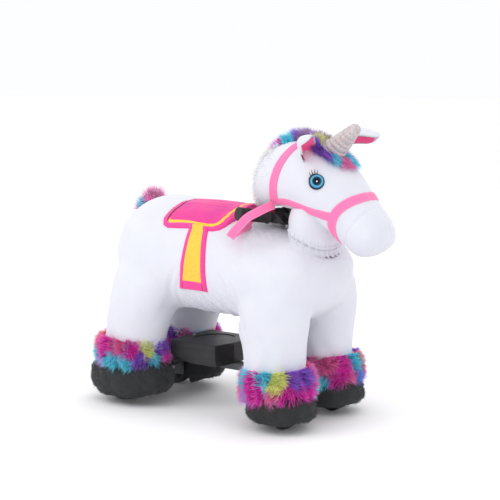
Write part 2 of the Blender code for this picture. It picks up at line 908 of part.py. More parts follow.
# Lower chassis: one welded beam with two cross bars, collars and the column's foot bearing
beam_low = beam_base_z
chassis = finish(
    "lower_chassis",
    block((rear_hoop_x, -beam_half_width, beam_low), (front_axle_x, beam_half_width, beam_top_z)),
    FRAME_GREY, 0.45, 0.6,
)
rear_bar_half = rear_hoop_y - bracket_thickness / 2 - seat_gap
crossbars = (
    ((rear_hoop_x - crossbar_half_width, rear_bar_half), (rear_hoop_x + crossbar_half_width, rear_bar_half)),
    ((front_axle_x - crossbar_half_width, kingpin_y), (front_axle_x + crossbar_half_width, kingpin_y)),
)
for (low_x, half), (high_x, _) in crossbars:
    join(chassis, guide(block((low_x, -half, beam_low), (high_x, half, beam_top_z))))
collar_radius = tube_radius + collar_wall
for side in (1, -1):
    foot = Vector((front_axle_x, side * kingpin_y, beam_low))
    join(chassis, guide(rod(foot, foot + Z * beam_height, collar_radius)))
column_boss_radius = column_radius + collar_wall * 2
boss_foot = Vector((column_x, 0, beam_low))
join(chassis, guide(rod(boss_foot, boss_foot + Z * beam_height, column_boss_radius)))
cut(chassis, front_hoop_room, column_bore)


def chassis_room(corner_gap=seat_gap):
    """What cloth pieces leave free round the cross bars and collars."""
    grow = (X + Y + Z) * corner_gap
    beam_corner = Vector((rear_hoop_x, -beam_half_width, beam_low))
    shapes = [block(beam_corner - grow, Vector((front_axle_x, beam_half_width, beam_top_z)) + grow)]
    for (low_x, half), (high_x, _) in crossbars:
        shapes.append(block(Vector((low_x, -half, beam_low)) - grow, Vector((high_x, half, beam_top_z)) + grow))
    for side in (1, -1):
        foot = Vector((front_axle_x, side * kingpin_y, beam_low - corner_gap))
        shapes.append(rod(foot, foot + Z * (beam_height + corner_gap * 2), collar_radius + corner_gap))
    return [guide(shape) for shape in shapes]


chassis_rooms = chassis_room()

# Axle brackets: a plate down to the axle, and a cup that the rear hoop stands in
axle_centre = Vector((rear_axle_x, 0, rear_wheel_radius))
cup_radius = tube_radius + bracket_cup_wall
bracket_low = rear_wheel_radius - bracket_foot


def bracket_shapes(side, out=0.0):
    y = side * rear_hoop_y
    half = bracket_thickness / 2 + out
    rear_x = rear_axle_x - bracket_foot - out
    front_x = rear_hoop_x + bracket_half_length / 2 + out
    plate = block((rear_x, y - half, bracket_low - out), (front_x, y + half, beam_top_z + out))
    foot = Vector((rear_hoop_x, y, beam_base_z - out))
    cup = rod(foot, foot + Z * (beam_height + bracket_cup_height + out * 2), cup_radius + out)
    return plate, cup


bracket_reach = Y * (rear_hoop_y + bracket_thickness)
axle_bore = guide(rod(axle_centre - bracket_reach, axle_centre + bracket_reach, rear_axle_radius + running_gap))
for side, label in ((1, "left"), (-1, "right")):
    plate, cup = bracket_shapes(side)
    bracket = finish(f"axle_bracket_{label}", plate, FRAME_GREY, 0.5, 0.6)
    cut(join(bracket, guide(cup)), rear_hoop_room, axle_bore)
cut(chassis, *[guide(shape) for side in (1, -1) for shape in bracket_shapes(side, seat_gap)])
bracket_rooms = [guide(shape) for side in (1, -1) for shape in bracket_shapes(side, seat_gap)]


# Rear axle, its wheels and the gear
def wheel(radius, width, hub_radius, rim_radius, dish, bore):
    """Half outline of a wheel from its bore to its tread, turned round Y."""
    half = width / 2
    outer = (
        (bore, half), (hub_radius, half), (hub_radius + dish / 2, half - dish), (rim_radius, half - dish / 2),
        (radius - wheel_edge, half), (radius, half - wheel_edge),
    )
    return [*outer, *[(size, -height) for size, height in outer[::-1]]]


def turned_ring(centre, axis, profile, sides):
    """A ring turned round axis: its profile closes on itself away from the axis."""
    axis, side, up = frame_of(axis)
    centre = Vector(centre)
    rings = [rounded(centre + axis * height, side, up, radius, radius, sides) for radius, height in profile]
    return lofted(rings, looped=True)


rear_profile = wheel(
    rear_wheel_radius, rear_wheel_width, rear_wheel_hub_radius, rear_wheel_rim_radius, rear_wheel_dish,
    rear_axle_radius + seat_gap,
)
front_profile = wheel(
    front_wheel_radius, front_wheel_width, front_wheel_hub_radius, front_wheel_radius - wheel_edge * 2,
    front_wheel_dish, front_pin_radius + running_gap,
)
for side, label in ((1, "left"), (-1, "right")):
    finish(
        f"rear_wheel_{label}", turned_ring(axle_centre + Y * side * kingpin_y, Y, rear_profile, wheel_sides),
        BLACK_PLASTIC, 0.6, pivot=axle_centre,
    )
nut_start = kingpin_y + rear_wheel_width / 2 + seat_gap
axle_end = nut_start + axle_nut_width
axle_profile = (
    (axle_nut_radius, -axle_end), (axle_nut_radius, -nut_start), (rear_axle_radius, -nut_start),
    (rear_axle_radius, nut_start), (axle_nut_radius, nut_start), (axle_nut_radius, axle_end),
)
finish("rear_axle", turned(axle_centre, Y, axle_profile, tube_sides), STEEL, 0.3, 1.0, pivot=axle_centre)


def gear_rim(centre, teeth, first_tooth, low_y, high_y):
    """A spur gear's toothed disc between two y planes, with a tooth centred on first_tooth."""
    root = gear_module * (teeth / 2 - dedendum_share)
    tip = gear_module * (teeth / 2 + addendum_share)
    spans = ((root, tooth_root_share), (tip, tooth_tip_share))
    outline = []
    for tooth in range(teeth):
        middle = first_tooth + tau * tooth / teeth
        for radius, share in spans:
            outline.append((radius, middle - tau / teeth * share / 2))
        for radius, share in spans[::-1]:
            outline.append((radius, middle + tau / teeth * share / 2))
    rings = []
    for y in (low_y, high_y):
        rings.append([Vector((centre.x + r * cos(a), y, centre.z + r * sin(a))) for r, a in outline])
    return lofted(rings)


mesh_distance = gear_module * (gear_teeth + pinion_teeth) / 2 + mesh_slack
pinion_centre = axle_centre + (X * cos(mesh_angle) + Z * sin(mesh_angle)) * mesh_distance
gear_low, gear_high = gear_y - gear_width / 2, gear_y + gear_width / 2
drive_gear = finish(
    "drive_gear", gear_rim(axle_centre, gear_teeth, mesh_angle, gear_low, gear_high), NYLON, 0.5,
    smooth=tooth_crease, pivot=axle_centre,
)
gear_bore_reach = Y * rear_hoop_y
bore_start, bore_end = axle_centre - gear_bore_reach, axle_centre + gear_bore_reach
cut(drive_gear, guide(rod(bore_start, bore_end, rear_axle_radius + seat_gap)))
pinion = finish(
    "motor_pinion",
    gear_rim(pinion_centre, pinion_teeth, mesh_angle + pi + pi / pinion_teeth, gear_low, gear_high),
    STEEL, 0.35, 1.0, smooth=tooth_crease, pivot=pinion_centre,
)
shaft_end = gear_high + housing_room + housing_wall + motor_boss_length + seat_gap
join(pinion, guide(rod(pinion_centre + Y * gear_high, pinion_centre + Y * shaft_end, motor_shaft_radius * 2)))

# Gearbox housing: a belt-shaped shell round both gears, hung from the beam
gear_tip_radius = gear_module * (gear_teeth / 2 + addendum_share)
pinion_tip_radius = gear_module * (pinion_teeth / 2 + addendum_share)


def belt(grow, low_y, high_y):
    points = []
    for centre, radius in ((axle_centre, gear_tip_radius), (pinion_centre, pinion_tip_radius)):
        for y in (low_y, high_y):
            points += rounded(Vector((centre.x, y, centre.z)), X, Z, radius + grow, radius + grow, round_sides)
    return hull_of(points)


housing_low, housing_high = gear_low - housing_room - housing_wall, gear_high + housing_room + housing_wall
housing_shell = belt(housing_room + housing_wall, housing_low, housing_high)
housing = finish("gearbox_housing", housing_shell, BLACK_PLASTIC, 0.55)
hanger_low = Vector((rear_axle_x, housing_low, rear_wheel_radius + gear_tip_radius))
hanger_high = Vector((pinion_centre.x, housing_high, beam_base_z - seat_gap))
join(housing, guide(block(hanger_low, hanger_high)))
cut(
    housing,
    guide(belt(housing_room, gear_low - housing_room, gear_high + housing_room)),
    guide(rod(bore_start, bore_end, rear_axle_radius + running_gap)),
    guide(rod(pinion_centre + Y * gear_high, pinion_centre + Y * overrun, motor_boss_radius + seat_gap)),
)
use_manifold(housing)
motor_face = pinion_centre + Y * (housing_high + seat_gap)
motor = finish(
    "motor",
    turned(
        motor_face, Y,
        ((motor_radius - motor_edge, 0), (motor_radius, motor_edge), (motor_radius, motor_length - motor_edge),
         (motor_radius - motor_edge, motor_length)),
    ),
    STEEL, 0.35, 0.9,
)
join(motor, guide(rod(motor_face - Y * motor_boss_length, motor_face + Y * motor_edge, motor_boss_radius)))
cut(
    motor,
    guide(
        rod(
            motor_face - Y * (motor_boss_length + overrun), pinion_centre + Y * (shaft_end + seat_gap),
            motor_shaft_radius * 2 + running_gap,
        )
    ),
)


# Battery box
def box_outline(z, inset=0.0, rear_cut=0.0):
    """The box's plan outline, its wall inset, with the rear drawn forward by rear_cut."""
    half = []
    for along, wide in box_outline_shares:
        x = box_rear_x + inset + rear_cut + (box_length - inset * 2 - rear_cut) * along
        half.append(Vector((x, (box_half_width - inset) * wide, z)))
    return half[1:] + [Vector((point.x, -point.y, z)) for point in half[:0:-1]]


box_low = beam_top_z + seat_gap
box_split = box_low + box_height - box_lid_height
box_high = box_low + box_height
tray = finish(
    "battery_tray",
    lofted([
        box_outline(box_low, box_wall / 2, box_rear_cut),
        box_outline(box_low + box_rear_rise, 0.0, 0.0),
        box_outline(box_split - seat_gap),
    ]),
    BLACK_PLASTIC, 0.5,
)
cut(
    tray,
    guide(lofted([
        box_outline(box_low + box_wall, box_wall * 2, box_rear_cut),
        box_outline(box_low + box_rear_rise + box_wall, box_wall),
        box_outline(box_split + overrun, box_wall),
    ])),
)
lid = finish(
    "battery_lid",
    lofted([
        box_outline(box_split), box_outline(box_high - box_wall / 2), box_outline(box_high, box_wall / 2),
    ]),
    BLACK_PLASTIC, 0.5,
)
dish_centre = Vector((box_rear_x + box_length / 2, 0, box_high))
cut(
    lid,
    guide(lofted([box_outline(box_split - overrun, box_wall), box_outline(box_high - box_wall, box_wall)])),
    guide(lofted([
        rounded(dish_centre - Z * lid_dish_depth, X, Y, lid_dish_half_length, lid_dish_half_width, body_sides),
        rounded(dish_centre + Z * overrun, X, Y, lid_dish_half_length, lid_dish_half_width, body_sides),
    ])),
)
battery_high_x = box_rear_x + box_length - battery_inset
battery_low = Vector((battery_high_x - battery_length, -battery_width / 2, box_low + box_wall + seat_gap))
battery_high = battery_low + Vector((battery_length, battery_width, battery_height))
battery = finish("battery", block(battery_low, battery_high), BATTERY_GREY, 0.5)
edge_round(battery, box_wall / 3, 1)
for side in (1, -1):
    terminal = Vector((battery_low.x + battery_inset / 2, side * battery_width / 4, battery_high.z))
    terminal_reach = Z * terminal_height
    join(battery, guide(rod(terminal - terminal_reach, terminal + terminal_reach, terminal_radius, tube_sides)))

screw_foot = Vector((box_rear_x + box_length * screw_share, 0, box_high))
lid_screw = finish(
    "lid_screw",
    turned(
        screw_foot, Z,
        ((screw_shank_radius, -box_lid_height), (screw_shank_radius, seat_gap), (screw_radius, seat_gap),
         (screw_radius, screw_head_height / 2), (screw_radius * screw_crown_share, screw_head_height)),
        tube_sides,
    ),
    STEEL, 0.35, 1.0,
)
cut(lid, guide(rod(screw_foot - Z * box_lid_height, screw_foot + Z * overrun, screw_shank_radius + seat_gap)))

# Rocker switch and charging socket in the tray's far wall
wall_y = box_half_width
part_z = (box_low + box_rear_rise + box_split) / 2
switch_centre = Vector((switch_x, wall_y - box_wall / 2, part_z))
switch_half = Vector((switch_length / 2, switch_depth / 2, switch_height / 2))
rocker_block = block(switch_centre - switch_half, switch_centre + switch_half)
rocker = finish("power_switch", rocker_block, BUTTON_RED, 0.4, pivot=switch_centre)
edge_round(rocker, switch_depth / 5, 2)
switch_room_half = switch_half + Vector((switch_room, overrun, switch_room))
cut(tray, guide(block(switch_centre - switch_room_half, switch_centre + switch_room_half)))
pin_reach = Z * (switch_height / 2 + switch_room + switch_pin_depth)
join(rocker, guide(rod(switch_centre - pin_reach, switch_centre + pin_reach, switch_pin_radius, pin_sides)))
pin_reach += Z * running_gap
pin_room_radius = switch_pin_radius + seat_gap
cut(tray, guide(rod(switch_centre - pin_reach, switch_centre + pin_reach, pin_room_radius, pin_sides)))
socket_centre = Vector((socket_x, wall_y, part_z))
socket = finish(
    "charge_socket",
    turned(
        socket_centre + Y * seat_gap, -Y,
        ((socket_radius, -socket_rim), (socket_radius, 0),
         (socket_radius - socket_rim, 0), (socket_radius - socket_rim, socket_length)),
        tube_sides * 2,
    ),
    BLACK_PLASTIC, 0.45,
)
socket_mouth = socket_centre + Y * overrun
socket_floor = socket_centre - Y * socket_length * 2 / 3
cut(socket, guide(rod(socket_mouth, socket_floor, socket_bore_radius - socket_rim / 2)))
cut(tray, guide(rod(socket_mouth, socket_centre - Y * overrun, socket_radius - socket_rim + seat_gap)))

# Steering column with its pitman arm and pin
hub_centre = Vector((column_x, 0, bar_hub_z))
column = finish(
    "steering_column", rod((column_x, 0, arm_base_z), hub_centre, column_radius), STEEL, 0.35, 0.9,
    pivot=hub_centre,
)
link_base_z = arm_base_z + arm_thickness + seat_gap
pin_top_z = link_base_z + link_thickness + seat_gap * 2


def strip(start, end, half_width, thickness):
    """A flat bar between two eyes, rounded at both ends."""
    points = []
    for centre in (start, end):
        for rise in (0, thickness):
            points += rounded(centre + Z * rise, X, Y, half_width, half_width, round_sides)
    return hull_of(points)


column_pivot = Vector((column_x, 0, arm_base_z))
join(column, guide(strip(column_pivot, column_pivot - X * arm_length, arm_half_width, arm_thickness)))
pitman_pin = column_pivot - X * arm_length
join(column, guide(rod(pitman_pin, Vector((pitman_pin.x, 0, pin_top_z)), link_pin_radius)))

# Tie bar: a flat V from the pitman pin to both knuckle pins
knuckle_pins = [Vector((front_axle_x - arm_length, side * kingpin_y, link_base_z)) for side in (1, -1)]
pitman_eye = Vector((pitman_pin.x, 0, link_base_z))
links = [strip(pitman_eye, knuckle, link_half_width, link_thickness) for knuckle in knuckle_pins]
tie_bar = finish("tie_bar", links[0], STEEL, 0.4, 0.9, pivot=pitman_eye)
join(tie_bar, guide(links[1]))
for eye in (pitman_eye, *knuckle_pins):
    eye_top = eye + Z * (link_thickness + overrun)
    cut(tie_bar, guide(rod(eye - Z * overrun, eye_top, link_pin_radius + running_gap)))
use_manifold(tie_bar)

# Forks, their stems and the front wheels
wheel_side = front_wheel_width / 2 + fork_side_gap
for side, label, eye in ((1, "left", knuckle_pins[0]), (-1, "right", knuckle_pins[1])):
    pivot = Vector((front_axle_x, side * kingpin_y, arm_base_z))
    hub = Vector((front_axle_x, side * kingpin_y, front_wheel_radius))
    arm = strip(pivot, pivot - X * arm_length, arm_half_width, arm_thickness)
    fork = finish(f"fork_{label}", arm, FRAME_GREY, 0.45, 0.7, pivot=pivot)
    join(fork, guide(rod(pivot, pivot + Z * arm_thickness, fork_plate_radius)))
    join(fork, guide(rod(pivot, Vector((pivot.x, pivot.y, plate_top_z + fork_stem_height)), fork_stem_radius)))
    join(fork, guide(rod(eye - Z * arm_thickness, Vector((eye.x, eye.y, pin_top_z)), link_pin_radius)))
    for hand in (1, -1):
        inner = hub.y + hand * wheel_side
        outer = hub.y + hand * (wheel_side + fork_cheek_thickness)
        cheek = block(
            (hub.x - fork_cheek_half_length, min(inner, outer), hub.z - fork_cheek_half_length),
            (hub.x + fork_cheek_half_length, max(inner, outer), plate_top_z - arm_thickness / 2),
        )
        join(fork, guide(cheek))
    reach = wheel_side + fork_cheek_thickness
    join(fork, guide(rod(hub - Y * reach, hub + Y * reach, front_pin_radius, tube_sides)))
    for hand in (1, -1):
        start = hub + Y * hand * (reach - front_pin_head_width / 2)
        join(fork, guide(rod(start, start + Y * hand * front_pin_head_width, front_pin_head, tube_sides)))
    tyre = turned_ring(hub, Y, front_profile, small_wheel_sides)
    finish(f"front_wheel_{label}", tyre, BLACK_PLASTIC, 0.6, pivot=hub)


# Handlebar: a hub, two wings and two core rods
def bar_direction(side):
    angle = pi / 2 + bar_sweep
    return Vector((cos(angle), side * sin(angle), 0))


def bar_point(side, reach):
    return hub_centre + bar_direction(side) * reach + Z * bar_rise * reach / bar_reach


handlebar = finish(
    "handlebar",
    rod(hub_centre - Z * bar_hub_half_height, hub_centre + Z * bar_hub_half_height, bar_hub_radius),
    BLACK_PLASTIC, 0.45, pivot=hub_centre,
)
for side in (1, -1):
    along = (bar_point(side, wing_reach) - hub_centre).normalized()
    square = Z.cross(along).normalized()
    lift = along.cross(square)
    wing_rings = []
    for reach, share in ((0, 1), (wing_reach / 2, 1), (wing_reach, wing_tip_share)):
        middle = bar_point(side, reach)
        deep = wing_half_depth * share
        wing_rings.append(rounded(middle, square, lift, deep, wing_half_height, tube_sides, wing_fullness))
    join(handlebar, guide(lofted(wing_rings)))
    core = rod(bar_point(side, wing_reach / 2), bar_point(side, bar_reach), bar_core_radius, tube_sides)
    join(handlebar, guide(core))
column_seat = hub_centre - Z * (bar_hub_half_height + overrun)
cut(handlebar, guide(rod(column_seat, hub_centre + Z * seat_gap, column_radius + seat_gap)))

button_top = Vector(bar_point(-1, button_reach)) + Z * (wing_half_height + button_proud)
finish(
    "throttle_button",
    turned(
        button_top - Z * button_height, Z,
        ((button_radius, 0), (button_radius, button_height - button_radius / 4),
         (button_radius * 3 / 4, button_height)),
        tube_sides,
    ),
    BUTTON_RED, 0.4, pivot=button_top,
)
button_well = button_top - Z * (button_height + button_travel + running_gap)
cut(handlebar, guide(rod(button_well, button_top + Z * overrun, button_radius + running_gap, round_sides)))
for side, label in ((1, "left"), (-1, "right")):
    start = bar_point(side, wing_reach + seat_gap)
    end = bar_point(side, bar_reach + grip_end_cap)
    length = (end - start).length
    grip = finish(
        f"grip_{label}",
        turned(
            start, end - start,
            ((grip_radius - grip_end_cap / 2, 0), (grip_radius, grip_end_cap / 2), (grip_radius, length / 2),
             (grip_tip_radius, length - grip_end_cap), (grip_tip_radius - grip_end_cap / 2, length)),
            leg_sides,
        ),
        BLACK_PLASTIC, 0.7, pivot=hub_centre,
    )
    core_end = bar_point(side, bar_reach + seat_gap)
    cut(grip, guide(rod(bar_point(side, wing_reach / 2), core_end, bar_core_radius + seat_gap, tube_sides)))

# Head, neck and gathered ring
torso_room = guide(torso_solid(seat_gap))
head_room = guide(head_solid(seat_gap))


def neck_rings(out=0.0):
    rings = []
    middle_z = (neck_base_z + neck_top_z) / 2
    for z, share in ((neck_base_z - out, 1), (middle_z, 1), (neck_top_z + out, neck_top_share)):
        half_length = neck_half_length * share + out
        half_width = neck_half_width * share + out
        rings.append(rounded(Vector((neck_x, 0, z)), X, Y, half_length, half_width, leg_sides))
    return rings


head = cut(finish("head_plush", head_solid(), WHITE_PLUSH, 0.95), *stem_room)
neck = finish("neck_plush", lofted(neck_rings()), WHITE_PLUSH, 0.95)
gather_rings = []
for step in range(round_sides):
    turn = tau * step / round_sides
    outward = Vector((cos(turn) * neck_half_length, sin(turn) * neck_half_width, 0))
    centre = Vector((neck_x, 0, gather_z - gather_tilt * cos(turn)))
    centre += outward * (1 + gather_radius / outward.length / 2)
    gather_rings.append(rounded(centre, outward.normalized(), Z, gather_radius, gather_radius, tube_sides))
join(neck, guide(lofted(gather_rings, looped=True)))
cut(neck, torso_room, head_room, *stem_room)
use_manifold(neck)

# Torso, laid round the frame
torso = finish("torso_plush", torso_solid(), WHITE_PLUSH, 0.95)
column_foot = Vector((column_x, 0, torso_base_z - overrun))
column_swing = guide(rod(column_foot, column_foot + Z * (torso_height + overrun), column_radius + swing_gap))
cut(torso, board_room, front_hoop_room, rear_hoop_room, spine_room, sleeve_room, column_swing)
cut(torso, stem_room[0])

# Legs, hooves and cuffs
tie_bar_swing = arm_length * sin(steer_swing) + link_half_width + swing_gap
tie_bar_front_x = front_axle_x - arm_length * cos(steer_swing) + arm_half_width + swing_gap
tie_bar_room = guide(
    block(
        (pitman_pin.x - tie_bar_swing, -kingpin_y, arm_base_z - swing_gap),
        (tie_bar_front_x, kingpin_y, pin_top_z + swing_gap),
    )
)
rear_window = guide(
    block(
        (rear_axle_x - bracket_half_length - overrun, -rear_hoop_y + bracket_thickness, -overrun),
        (rear_hoop_x + rear_hoof_half_length / 2, rear_hoop_y - bracket_thickness, rear_hoof_top_z + overrun),
    )
)
for corner in corners:
    leg = finish(f"{corner.name}_leg", corner.leg(), WHITE_PLUSH, 0.95)
    hoop_room = front_hoop_room if corner.front else rear_hoop_room
    frame_rooms = [] if corner.front else bracket_rooms
    side_room = tie_bar_room if corner.front else rear_window
    cut(leg, torso_room, hoop_room, *chassis_rooms, *frame_rooms)
    hoof = finish(f"{corner.name}_hoof", corner.hoof(), CHARCOAL, 0.95)
    cut(hoof, guide(corner.hoof_room()), hoop_room, *frame_rooms, side_room)
    cuff = finish(f"{corner.name}_cuff", corner.cuff(), FUR_MAGENTA, 1.0)
    cut(cuff, guide(corner.leg(seat_gap)), guide(corner.hoof(seat_gap)), *chassis_rooms, side_room)
    if not corner.front:
        cut(hoof, *chassis_rooms)

# Saddle and stirrup flaps, laid on the torso's skin
saddle_outer = []
for along, wide in saddle_outline_shares:
    x = saddle_rear_x + saddle_length * along
    edge = torso_turn_at_width(x, saddle_half_width * wide)
    top, bottom = [], []
    for step in range(saddle_steps + 1):
        across = step / saddle_steps
        crown = sin(pi * across) ** saddle_side_share * sin(pi * along) ** saddle_end_share
        out = saddle_edge_thickness + (saddle_thickness - saddle_edge_thickness) * crown
        out += saddle_rise * max(along - saddle_rise_share, 0) / (1 - saddle_rise_share) * sin(pi * across)
        top.append(torso_skin(x, edge + (pi - edge * 2) * across, out))
        bottom.append(torso_skin(x, edge + (pi - edge * 2) * across, -overrun))
    saddle_outer.append(top + bottom[::-1])
saddle = finish("saddle_pad", lofted(saddle_outer), SADDLE_PINK, 0.9)
cut(saddle, torso_room)

flap_rows = []
saddle_edge = torso_turn_at_width(flap_top_x, saddle_half_width)
foot_turn = torso_turn_at_height(flap_foot_x, flap_foot_z)
for step in range(flap_steps + 1):
    turn = foot_turn + (pi - foot_turn * 2) * step / flap_steps
    below = max(saddle_edge - min(turn, pi - turn), 0) / (saddle_edge - foot_turn)
    middle_x = flap_top_x + (flap_foot_x - flap_top_x) * below
    half = flap_top_half_width + (flap_foot_half_width - flap_top_half_width) * below
    row = []
    for hand, out in ((-1, 1), (0, 1), (1, 1), (1, -1), (0, -1), (-1, -1)):
        row.append(torso_skin(middle_x + half * hand, turn, flap_thickness if out > 0 else -overrun))
    flap_rows.append(row)
flaps = cut(finish("stirrup_strap", lofted(flap_rows), SADDLE_PINK, 0.9), torso_room)
strap_gap_rows = []
for row in flap_rows:
    middle = sum(row, Vector()) / len(row)
    strap_gap_rows.append([point + (point - middle).normalized() * seat_gap * 2 for point in row])
cut(saddle, guide(lofted(strap_gap_rows)))


# Bridle: flat webbing laid on the head
def head_strap(places, looped=False, width=strap_width, out=strap_thickness, sink=strap_sink):
    """Webbing along (share along the head, turn) places, sunk a little below the skin."""
    middles = [head_skin(along, turn) for along, turn in places]
    rings = []
    for here, (along, turn) in enumerate(places):
        before = middles[here - 1] if here or looped else middles[here]
        after = middles[(here + 1) % len(middles)] if here + 1 < len(middles) or looped else middles[here]
        normal = head_normal(along, turn)
        across = (after - before).cross(normal).normalized() * width / 2
        middle = middles[here]
        rings.append([
            middle + across + normal * out, middle - across + normal * out,
            middle - across - normal * sink, middle + across - normal * sink,
        ])
    return lofted(rings, looped)


def noseband_places(count):
    places = []
    for step in range(count):
        turn = tau * step / count
        places.append((noseband_mid_share + noseband_lean_share * sin(turn), turn))
    return places


def mirrored_turn(turn):
    return pi - turn


bridle = finish("bridle", head_strap(noseband_places(noseband_steps), looped=True), WEBBING_PINK, 0.85)
cheek_route = [(along, radians(turn)) for along, turn in cheek_shares]
for side in (1, -1):
    path = [(along, turn if side > 0 else mirrored_turn(turn)) for along, turn in cheek_route]
    join(bridle, guide(head_strap(path, out=strap_thickness * cheek_thickness_share)))
crown_path = []
for step in range(crown_steps + 1):
    across = step / crown_steps
    fold = 1 - abs(across * 2 - 1)
    (along,) = between(crown_route_shares, fold)
    crown_path.append((along, junction_turn + (pi - junction_turn * 2) * across))
crown_thickness = strap_thickness * crown_thickness_share
join(bridle, guide(head_strap(crown_path, out=crown_thickness)))
cut(bridle, head_room)
crown_room = guide(head_strap(crown_path, width=strap_width + seat_gap * 2, out=crown_thickness + seat_gap))

# Reins: one strap from cheek to cheek, looping round under both grips and behind the neck
junction = head_skin(junction_along_share, junction_turn, strap_thickness + rein_thickness * 3 / 2)
rein_half = []
for along, outward, down in rein_fall_shares:
    rein_half.append(
        Vector((
            junction.x + (rein_low_x - junction.x) * along,
            junction.y + (rein_out - junction.y) * outward,
            junction.z + (rein_low_z - junction.z) * down,
        ))
    )
rein_normals = [(Y + X / 2).normalized()] * len(rein_fall_shares)
for long, out_share in rein_return_shares:
    x = rein_back_x + (rein_low_x - rein_back_x) * long
    y = rein_out * out_share
    turn = torso_turn_at_width(x, y)
    rein_half.append(torso_skin(x, turn, rein_hem))
    rein_normals.append((torso_skin(x, turn, rein_hem) - torso_skin(x, turn)).normalized())
rein_points = smooth_route(rein_half, route_steps)
rein_lifts = smooth_route(rein_normals, route_steps)


def ribbon(points, lifts, width, thickness):
    """A flat strap along points, its face turned to lifts."""
    rings = []
    for here, point in enumerate(points):
        before = points[max(here - 1, 0)]
        after = points[min(here + 1, len(points) - 1)]
        tangent = (after - before).normalized()
        lift = (lifts[here] - tangent * lifts[here].dot(tangent)).normalized()
        across = tangent.cross(lift) * width / 2
        rise = lift * thickness / 2
        left, right = point + across, point - across
        rings.append([left + rise, right + rise, right - rise, left - rise])
    return lofted(rings)


full_points = rein_points + [Vector((p.x, -p.y, p.z)) for p in rein_points[-2::-1]]
full_lifts = rein_lifts + [Vector((p.x, -p.y, p.z)) for p in rein_lifts[-2::-1]]
reins = finish("reins", ribbon(full_points, full_lifts, rein_width, rein_thickness), WEBBING_PINK, 0.85)
cut(reins, torso_room, head_room)
use_manifold(reins)


# Ears, horn and eyes
def ear_rings(side, wide=1.0, thick=1.0):
    """Curled leaf sections along the ear's path."""
    ear_root = head_place(ear_root_shares)
    route = []
    for share in ear_path_shares:
        route.append(ear_root + Vector((ear_forward, ear_outward, ear_lift)) * Vector(share))
    rings = []
    for here, middle in enumerate(route):
        before = route[max(here - 1, 0)]
        after = route[min(here + 1, len(route) - 1)]
        tangent = (after - before).normalized()
        across = tangent.cross(Vector(ear_face_shares)).normalized()
        lift = across.cross(tangent).normalized()
        half = ear_half_width * ear_width_shares[here] * wide
        upper, lower = [], []
        for step in range(ear_steps + 1):
            place = step / ear_steps * 2 - 1
            edge = middle + across * half * place - lift * ear_curl * place**2 * ear_width_shares[here]
            body = lift * ear_thickness / 2 * thick * (1 - place**2 * ear_thinning_share)
            upper.append(edge + body)
            lower.append(edge - body)
        ring = upper + lower[::-1]
        rings.append([Vector((p.x, side * p.y, p.z)) for p in ring])
    return rings


for side, label in ((1, "left"), (-1, "right")):
    ear = finish(f"ear_{label}", lofted(ear_rings(side)), WHITE_PLUSH, 0.95)
    cut(ear, head_room)
horn_foot = head_place(horn_foot_shares)
horn_reach = X * horn_forward + Z * horn_rise
horn_axis = horn_reach.normalized()
horn_length = horn_reach.length
horn_profile = []
horn_rows = horn_ridge_count * 2
for step in range(horn_rows + 1):
    share = step / horn_rows
    radius = horn_foot_radius + (horn_tip_radius - horn_foot_radius) * share
    radius *= 1 + horn_ridge_share * sin(tau * horn_ridge_count * share)
    horn_profile.append((radius, horn_length * share))
horn_profile.append((horn_tip_radius / 2, horn_length + horn_tip_radius / 2))
horn = finish("horn", turned(horn_foot, horn_axis, horn_profile, leg_sides), HORN_PEARL, 0.35, 0.2)
cut(horn, head_room)
horn_room_radius = horn_foot_radius * (1 + horn_ridge_share) + seat_gap
horn_end = horn_foot + horn_axis * horn_length
horn_room = guide(rod(horn_foot, horn_end, horn_room_radius, round_sides, horn_tip_radius * 2))

for side, label in ((1, "left"), (-1, "right")):
    turn = eye_turn if side > 0 else mirrored_turn(eye_turn)
    profile = [(eye_radius * wide, eye_depth * rise) for wide, rise in eye_shares]
    eye_seat = head_skin(eye_along_share, turn)
    eye_axis = head_normal(eye_along_share, turn)
    eye = finish(f"eye_{label}", turned(eye_seat, eye_axis, profile, leg_sides), EYE_BLUE, 0.15)
    cut(eye, head_room)


# Mane, forelock and tail
def ridge(table, half_width, height):
    """A fur ridge along the head's upper edge."""
    rings = []
    for along, high, wide in table:
        middle = head_skin(along, pi / 2)
        _, half_up, _ = head_section(along)
        up = half_up.normalized()
        rings.append(rounded(middle, Y, up, half_width * wide, height * high, leg_sides))
    return lofted(rings)


mane = finish("mane", ridge(mane_shares, mane_half_width, mane_height), FUR_MAGENTA, 1.0)
cut(mane, head_room, crown_room)
use_manifold(mane)
forelock = finish("forelock", ridge(forelock_shares, forelock_half_width, forelock_height), FUR_MAGENTA, 1.0)
ear_rooms = [guide(lofted(ear_rings(side, ear_room_width_share, ear_room_share))) for side in (1, -1)]
cut(forelock, head_room, crown_room, horn_room, *ear_rooms)
tail_root = Vector((torso_rear_x + tail_inset, 0, tail_root_z))
tail_reach = X * tail_lean + Z * tail_rise
tail_profile = [(tail_radius * wide, tail_reach.length * rise) for rise, wide in tail_shares]
tail = finish("tail", turned(tail_root, tail_reach, tail_profile, leg_sides), FUR_MAGENTA, 1.0)
cut(tail, torso_room)

